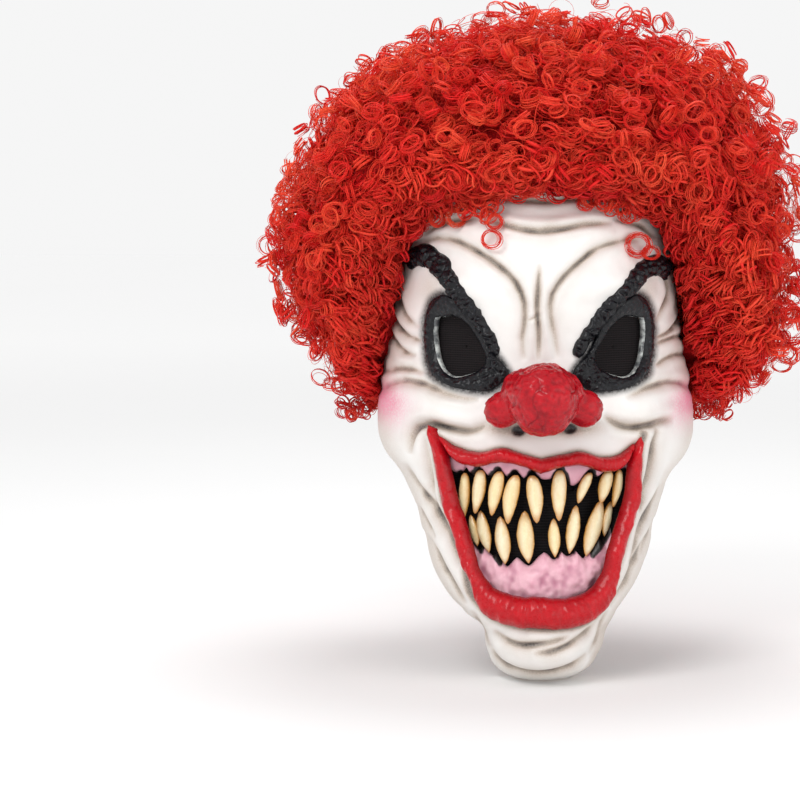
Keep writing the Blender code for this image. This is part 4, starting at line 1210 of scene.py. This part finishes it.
def hair_section(points):
    """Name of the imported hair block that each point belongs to."""
    away = points - HAIR_CENTRE
    turn = np.degrees(np.arctan2(away[:, 0], -away[:, 1])) % 360.0
    rise = np.degrees(np.arctan2(away[:, 2], np.hypot(away[:, 0], away[:, 1])))
    names = np.full(len(points), "hair_crown", dtype=object)
    side = np.where((turn >= 120) & (turn < 240), "back", np.where(turn < 120, "right", "left"))
    upper = (rise < 62) & (rise >= 33)
    facing = (turn < 45) | (turn > 315)
    level = np.where(rise >= 0, "middle", "lower")
    below = rise < 33
    names[upper] = ["hair_%s_upper" % s for s in side[upper]]
    names[upper & facing] = "hair_front_upper"
    names[below] = ["hair_%s_%s" % pair for pair in zip(side[below], level[below])]
    return names


def clumps(ray):
    """Broad lumps of the afro's outside, in mm."""
    x, y, z = 9.0 * np.moveaxis(ray, -1, 0)
    return (2.6 * np.sin(x + 1.0) * np.sin(0.9 * z + 2.0) + 2.2 * np.sin(1.5 * y + 1.9 * x + 0.5)
            + 1.8 * np.sin(2.3 * z - 1.3 * x + 1.5 * y))


def afro_outside(turn, rise):
    """Radius of the curls' outside from the hair's centre, with its uneven outline seen from the front."""
    ray = directions(turn, rise)
    angle = np.degrees(np.arctan2(ray[..., 2], ray[..., 0]))
    sideways = np.hypot(ray[..., 0], ray[..., 2])
    trim = np.interp(angle, HAIR_TRIM[:, 0], HAIR_TRIM[:, 1], period=360.0)
    return hair_reach(turn, rise) + clumps(ray) + trim * sideways**2


def skin_reach(turn, rise, room):
    """Radius from the hair's centre at which a ray is clear of the face."""
    ray = directions(turn, rise)
    reach = np.full(np.shape(turn), CAP_REACH)
    for radius in np.arange(CAP_REACH, 172.0, 2.0):
        blocked = ~clear_of_face(HAIR_CENTRE + ray * radius, room)
        reach = np.where(blocked, radius + 2.0, reach)
    return reach


def beside_face(points):
    """Move curls aside that would hide the edge of the face below the temples."""
    x, y, z = points.T
    lowered = 1.0 - step_between(z, 26.0, 44.0)
    edge = (section(np.clip(z, CHIN, TOP))[0] + 6.0) * lowered
    ahead = (y < 10.0) & (z > -90.0)
    moved = points.copy()
    moved[:, 0] = np.where(ahead, np.sign(x) * np.maximum(np.abs(x), edge), x)
    return moved


def outer_places(rng, count, shallow, deepest, bias):
    """Random places in the outer layer: points, outward rays and depth under the outside in mm."""
    points, rays, depths = [], [], []
    got = 0
    low = math.sin(math.radians(LOWEST_HAIR))
    while got < count:
        turn = rng.random(count) * 360.0
        rise = np.degrees(np.arcsin(low + (1 - low) * rng.random(count)))
        ray = directions(turn, rise)
        depth = shallow + (deepest - shallow) * rng.random(count) ** bias
        point = beside_face(HAIR_CENTRE + ray * (afro_outside(turn, rise) - depth)[:, None])
        keep = (rise > lowest_rise(turn) + 1.0) & clear_of_face(point, 7.0)
        points.append(point[keep])
        rays.append(ray[keep])
        depths.append(depth[keep])
        got += int(keep.sum())
    return np.vstack(points)[:count], np.vstack(rays)[:count], np.concatenate(depths)[:count]


def edge_places(rng, count):
    """Random places over the front and bottom faces of the afro, from the latex or cap to the outside."""
    around = np.linspace(-180.0, 180.0, 721)
    edge = HAIR_CENTRE + directions(around, lowest_rise(around)) * 125.0
    run = np.r_[0.0, np.cumsum(np.linalg.norm(np.diff(edge, axis=0), axis=1))]
    turn = np.interp(rng.random(count) * run[-1], run, around)
    rise = lowest_rise(turn) + 5.5 * rng.random(count) ** 1.4
    inner = np.maximum(skin_reach(turn, rise, 6.0), 98.0)
    outer = afro_outside(turn, rise) - 4.0
    share = rng.random(count) ** 0.8
    ray = directions(turn, rise)
    point = beside_face(HAIR_CENTRE + ray * (inner + (outer - inner) * share)[:, None])
    facing = unit(0.55 * ray + directions(turn, rise - 70.0))
    return point, facing, 4.0 + 12.0 * (1 - share)


def side_places(rng, count):
    """Random places hugging both sides of the face: over its edge at the temples, behind it lower down."""
    side = np.sign(rng.random(count) - 0.5)
    z = -50.0 + 130.0 * rng.random(count)
    spread = rng.random(count)
    turn = np.radians(np.where(z > 40.0, 64.0 + 26.0 * spread, 91.0 + 16.0 * spread)) * side
    room = 5.0 + 20.0 * rng.random(count) ** 1.3
    point = beside_face(skin_at_turn(turn, z, room))
    facing = np.column_stack([0.55 * side, np.full(count, -0.8), 0.1 * rng.normal(size=count)])
    return point, unit(facing), 4.0 + 14.0 * rng.random(count)


def stray_places():
    """The loose curls on the forehead, all facing ahead."""
    x, z, _ = np.array(STRAY_CURLS).T
    facing = np.tile([0.0, -0.97, 0.22], (len(x), 1))
    return skin(x, z, 6.0), facing, np.zeros(len(x))


def fringe_places(rng, count):
    """Loose curls that tumble on to the forehead."""
    x = -84.0 + 168.0 * rng.random(count)
    low = np.interp(x, FRINGE_EDGE[:, 0], FRINGE_EDGE[:, 1])
    z = low + 5.0 + (98.0 - low) * rng.random(count) ** 1.25
    room = 4.5 + 5.0 * rng.random(count) + 0.45 * (z - low) * rng.random(count)
    point = skin(x, np.minimum(z, 99.0), room)
    facing = np.column_stack([0.008 * x, np.full(count, -1.0), np.full(count, 0.15)])
    return point, unit(facing), 8.0 * rng.random(count)


def ringlets(rng, places, strands, radius, turns, pitch, thick, steps, facing):
    """Bundles of fine strands wound round a shared axis, as closed three-sided tubes.

    Every pair is a range, and `facing` is the share of ringlets whose axis points out of the hair. Returns
    points (strand, step, corner, xyz), each strand's tint and depth, and its ringlet's centre.
    """
    centres, rays, depths = places
    n = len(centres)
    ranged = [low + (high - low) * rng.random(n) for low, high in (radius, turns, pitch)]
    wander = unit(rng.normal(size=(n, 3)))
    axis = unit(rays + np.where(rng.random(n) < facing, 0.45, 2.2)[:, None] * wander)
    squash = 0.80 + 0.20 * rng.random(n)
    hand = np.sign(rng.random(n) - 0.5)
    start = 2 * np.pi * rng.random(n)
    tint = rng.normal(0.40, 0.24, n)
    every = np.repeat(np.arange(n), strands)
    m = len(every)
    size, coils, climb = (value[every] for value in ranged)
    axis, squash, hand = axis[every], squash[every, None], hand[every, None]
    helper = np.where(np.abs(axis[:, 2:3]) < 0.8, [[0.0, 0.0, 1.0]], [[1.0, 0.0, 0.0]])
    u = unit(np.cross(axis, helper))
    v = np.cross(axis, u)
    t = np.linspace(0.0, 1.0, steps)[None]
    first = 0.16 * rng.random((m, 1))
    s = first + (1.0 - 0.16 * rng.random((m, 1)) - first) * t
    angle = hand * (2 * np.pi * coils[:, None] * s) + start[every, None] + 0.22 * rng.normal(size=(m, 1))
    loose = 1 + 0.10 * rng.normal(size=(m, 1)) + 0.09 * np.sin(1.3 * angle + 6 * rng.random((m, 1)))
    reach = size[:, None] * loose * (1.08 - 0.34 * (s - 0.2) ** 2)
    out = np.cos(angle)[..., None] * u[:, None] + (squash * np.sin(angle))[..., None] * v[:, None]
    rise = (climb * coils)[:, None] * (s - 0.5) + 0.55 * rng.normal(size=(m, 1))
    path = centres[every, None] + out * reach[..., None] + axis[:, None] * rise[..., None]
    low, high = thick
    half = (low + (high - low) * rng.random((m, 1))) * np.sin(np.pi * (0.02 + 0.96 * t)) ** 0.35
    corners = []
    for corner in (0.5, 2.6, 4.7):
        corners.append(path + axis[:, None] * (half * math.cos(corner))[..., None]
                       + out * (0.7 * half * math.sin(corner))[..., None])
    tints = tint[every] + 0.12 * rng.normal(size=m)
    return np.stack(corners, axis=2), tints, depths[every], centres[every]


def inside_margin(points):
    """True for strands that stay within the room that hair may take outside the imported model's box."""
    low, high = (np.array(corner) for corner in cad_box)
    grown = BOX_SHARE * (high - low) + BOX_ROOM
    low, high = (low - grown) / MM, (high + grown) / MM
    flat = points.reshape(len(points), -1, 3)
    return np.all((flat > low) & (flat < high), axis=(1, 2))


def curl_groups(rng):
    """Every group of curls: filling ones first, then the face's edge, the fringe and the stray ones."""
    rings, tight = (4.4, 6.6), (3.0, 4.8)
    kinds = [       # places, strands, ring radius, turns, pitch, thickness, steps, share facing out
        (outer_places, (2700, 1.0, 15.0, 1.3), 4, rings, (1.6, 3.0), (1.6, 4.2), (0.34, 0.52), 26, 0.55),
        (outer_places, (3600, 6.0, 30.0, 0.8), 1, rings, (1.2, 2.6), (2.0, 5.0), (0.8, 1.3), 22, 0.5),
        (outer_places, (760, -12.0, -1.0, 1.4), 4, rings, (1.5, 2.6), (1.2, 3.4), (0.26, 0.42), 28, 0.3),
        (outer_places, (2400, -5.0, 6.0, 1.0), 1, (4.0, 8.5), (0.6, 1.6), (2.0, 6.0), (0.16, 0.26), 20, 0.4),
        (edge_places, (1500,), 4, rings, (1.5, 2.8), (1.6, 4.0), (0.34, 0.52), 26, 0.6),
        (edge_places, (900,), 1, rings, (1.2, 2.4), (2.0, 5.0), (0.8, 1.2), 22, 0.5),
        (side_places, (460,), 3, tight, (1.4, 2.6), (1.4, 3.6), (0.30, 0.48), 24, 0.6),
        (fringe_places, (300,), 3, tight, (1.3, 2.4), (1.2, 3.0), (0.28, 0.44), 24, 0.7),
    ]
    for where, settings, *shape in kinds:
        yield ringlets(rng, where(rng, *settings), *shape)
    size = np.array(STRAY_CURLS)[:, 2]
    yield ringlets(rng, stray_places(), 7, (size, size), (2.0, 3.4), (0.8, 1.6), (0.22, 0.34), 30, 1.0)


def build_curls():
    """Every curl of the wig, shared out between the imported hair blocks."""
    fibre = curl_fibre("wig_fibre", (0.60, 0.006, 0.012), (0.86, 0.022, 0.018), (0.98, 0.115, 0.045))
    blocks = {}
    for points, tint, depth, centres in curl_groups(np.random.default_rng(SEED)):
        fits = inside_margin(points)
        names = hair_section(centres)
        for name in np.unique(names):
            chosen = fits & (names == name)
            paint = curl_paint(points[chosen], tint[chosen], depth[chosen])
            blocks.setdefault(name, []).append(strand_mesh(points[chosen], paint))
    for name, parts in sorted(blocks.items()):
        for number, (verts, quads, paint) in enumerate(packed_parts(parts), 1):
            make_piece(f"{name}_curls_{number}", verts, quads, fibre, (name,), "red_hair", paint)


def curl_paint(points, tint, depth):
    """Paint of each strand: its own tint in broad patches, and darker with depth under the outside, as
    painted shade.
    """
    x, y, z = np.moveaxis(points, -1, 0)
    broad = 0.16 * np.sin(x / 17.0 + 1.0) * np.sin(z / 21.0) + 0.10 * np.sin(y / 13.0 + z / 29.0)
    paint = np.zeros(points.shape)
    paint[..., 0] = np.clip(tint[:, None, None] + broad, 0.0, 1.0)
    # painted shade: strands deeper under the outside are darker
    paint[..., 1] = np.clip(depth / 26.0, 0.0, 0.9)[:, None, None]
    return paint


def strand_mesh(points, paint):
    """Strands of points, and their paint, as the points, quads and colours of one mesh."""
    n, steps, corners = points.shape[:3]
    quads = grid_quads(steps, corners, wrap_columns=True)
    quads = (np.arange(n) * steps * corners)[:, None, None] + quads[None]
    return points.reshape(-1, 3), quads.reshape(-1, 4), paint.reshape(-1, 3)


def packed_parts(parts):
    """Join meshes of strands, cut so that no piece has too many faces."""
    verts, quads, paint, first = [], [], [], 0
    for v, q, p in parts:
        verts.append(v)
        quads.append(q + first)
        paint.append(p)
        first += len(v)
    verts, quads, paint = np.vstack(verts), np.vstack(quads), np.vstack(paint)
    pieces = math.ceil(len(quads) / LARGEST_PIECE)
    for share in np.array_split(quads, pieces):
        low, high = share.min(), share.max() + 1
        yield verts[low:high], share - low, paint[low:high]


def build_hair_mass():
    """The tangle of fibre under the outer curls, from the hairline round the back to the nape, in a darker
    red as painted shade.
    """
    around = 180
    turns = np.linspace(0.0, 360.0, around, endpoint=False)
    inset = 5.0 + 6.0 * np.clip(np.cos(np.radians(turns)) + 0.35, 0.0, 1.0)
    low = lowest_rise(turns) + inset
    shell = [(share, 0.86) for share in np.linspace(0.0, 1.0, 70)]
    rings = []
    for share, scale in [(0.0, 0.66), (0.0, 0.72), (0.0, 0.79)] + shell:
        rise = low + (89.0 - low) * share
        rings.append(HAIR_CENTRE + directions(turns, rise) * (afro_outside(turns, rise) * scale)[:, None])
    rings = np.array(rings)
    lumps = roughen(rings, 10.0, 2.0) * 4.0 + roughen(rings, 4.5, 5.0) * 2.0
    rings = rings + unit(rings - HAIR_CENTRE) * lumps[..., None]
    last = (len(rings) - 1) * around
    quads = np.vstack([grid_quads(len(rings), around, wrap_columns=True), end_quads(around, last)])
    make_piece("hair_mass", rings.reshape(-1, 3), quads, hair_shadow(), (), "red_hair")


def finish_cap_and_tapes():
    """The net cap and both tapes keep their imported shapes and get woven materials."""
    net = net_cloth("cap_net", (0.22, 0.03, 0.025), 2.4)
    tape = woven_tape()
    for name, mat in (("wig_cap", net), ("hairline_tape", tape), ("nape_elastic", tape)):
        for material_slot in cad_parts[name].material_slots:
            material_slot.material = mat


# ---- stage --------------------------------------------------------------------------------------------
def build_stage():
    """Pale floor, soft studio lights and the camera."""
    low, size = cad_box[0][2] - FLOOR_GAP, 6.0
    mesh = bpy.data.meshes.new("floor")
    corners = [(-size, -size, low), (size, -size, low), (size, size, low), (-size, size, low)]
    mesh.from_pydata(corners, [], [(0, 1, 2, 3)])
    floor = bpy.data.objects.new("floor", mesh)
    mesh.materials.append(floor_paper())
    bpy.context.scene.collection.objects.link(floor)
    world = bpy.data.worlds.new("studio")
    bpy.context.scene.world = world
    world.use_nodes = True
    light_sky(world.node_tree)
    add_light("key", (-0.60, -1.15, 1.05), 0.7, 10.0)
    add_light("fill", (1.0, -1.0, 0.35), 1.0, 3.0)
    add_light("top", (0.1, 0.5, 1.3), 0.8, 8.0)
    bpy.context.scene.view_settings.view_transform = "Standard"
    add_camera()


def light_sky(tree):
    """White all round, brighter towards the level."""
    sky = tree.nodes["Background"]
    sky.inputs["Color"].default_value = (1.0, 1.0, 1.0, 1.0)
    place = tree.nodes.new("ShaderNodeTexCoord")
    split = tree.nodes.new("ShaderNodeSeparateXYZ")
    height = tree.nodes.new("ShaderNodeMapRange")
    for socket, number in (("From Min", 0.10), ("From Max", 0.45), ("To Min", 0.92), ("To Max", 0.70)):
        height.inputs[socket].default_value = number
    tree.links.new(place.outputs["Generated"], split.inputs["Vector"])
    tree.links.new(split.outputs["Z"], height.inputs["Value"])
    tree.links.new(height.outputs["Result"], sky.inputs["Strength"])


def add_light(name, place, size, watts):
    data = bpy.data.lights.new(name, "AREA")
    data.size = size
    data.energy = watts
    light = bpy.data.objects.new(name, data)
    light.location = place
    aim = Vector((0.0, -0.06, -0.02)) - Vector(place)
    light.rotation_euler = aim.to_track_quat("-Z", "Y").to_euler()
    bpy.context.scene.collection.objects.link(light)


def add_camera():
    """Long lens, almost straight on, with the mask right of and above the middle of the picture."""
    azimuth, elevation, distance = math.radians(-2.0), math.radians(4.0), 1.8
    face = Vector((0.0, -0.085, 0.0))
    level = Vector((math.sin(azimuth), -math.cos(azimuth), 0.0)) * math.cos(elevation)
    away = level + Vector((0.0, 0.0, math.sin(elevation)))
    right = Vector((math.cos(azimuth), math.sin(azimuth), 0.0))
    up = right.cross(-away).normalized()
    target = face - right * 0.0815 - up * 0.0325
    data = bpy.data.cameras.new("camera")
    data.lens = 139.0
    camera = bpy.data.objects.new("camera", data)
    camera.location = face + away * distance
    camera.rotation_euler = (target - camera.location).to_track_quat("-Z", "Y").to_euler()
    bpy.context.scene.collection.objects.link(camera)
    bpy.context.scene.camera = camera


def main():
    rubber = black_rubber()
    build_face()
    build_nose()
    build_lips()
    build_brows(rubber)
    build_eyes(rubber)
    build_teeth()
    build_gums()
    build_mouth_lining()
    finish_cap_and_tapes()
    build_hair_mass()
    build_curls()
    build_stage()


main()
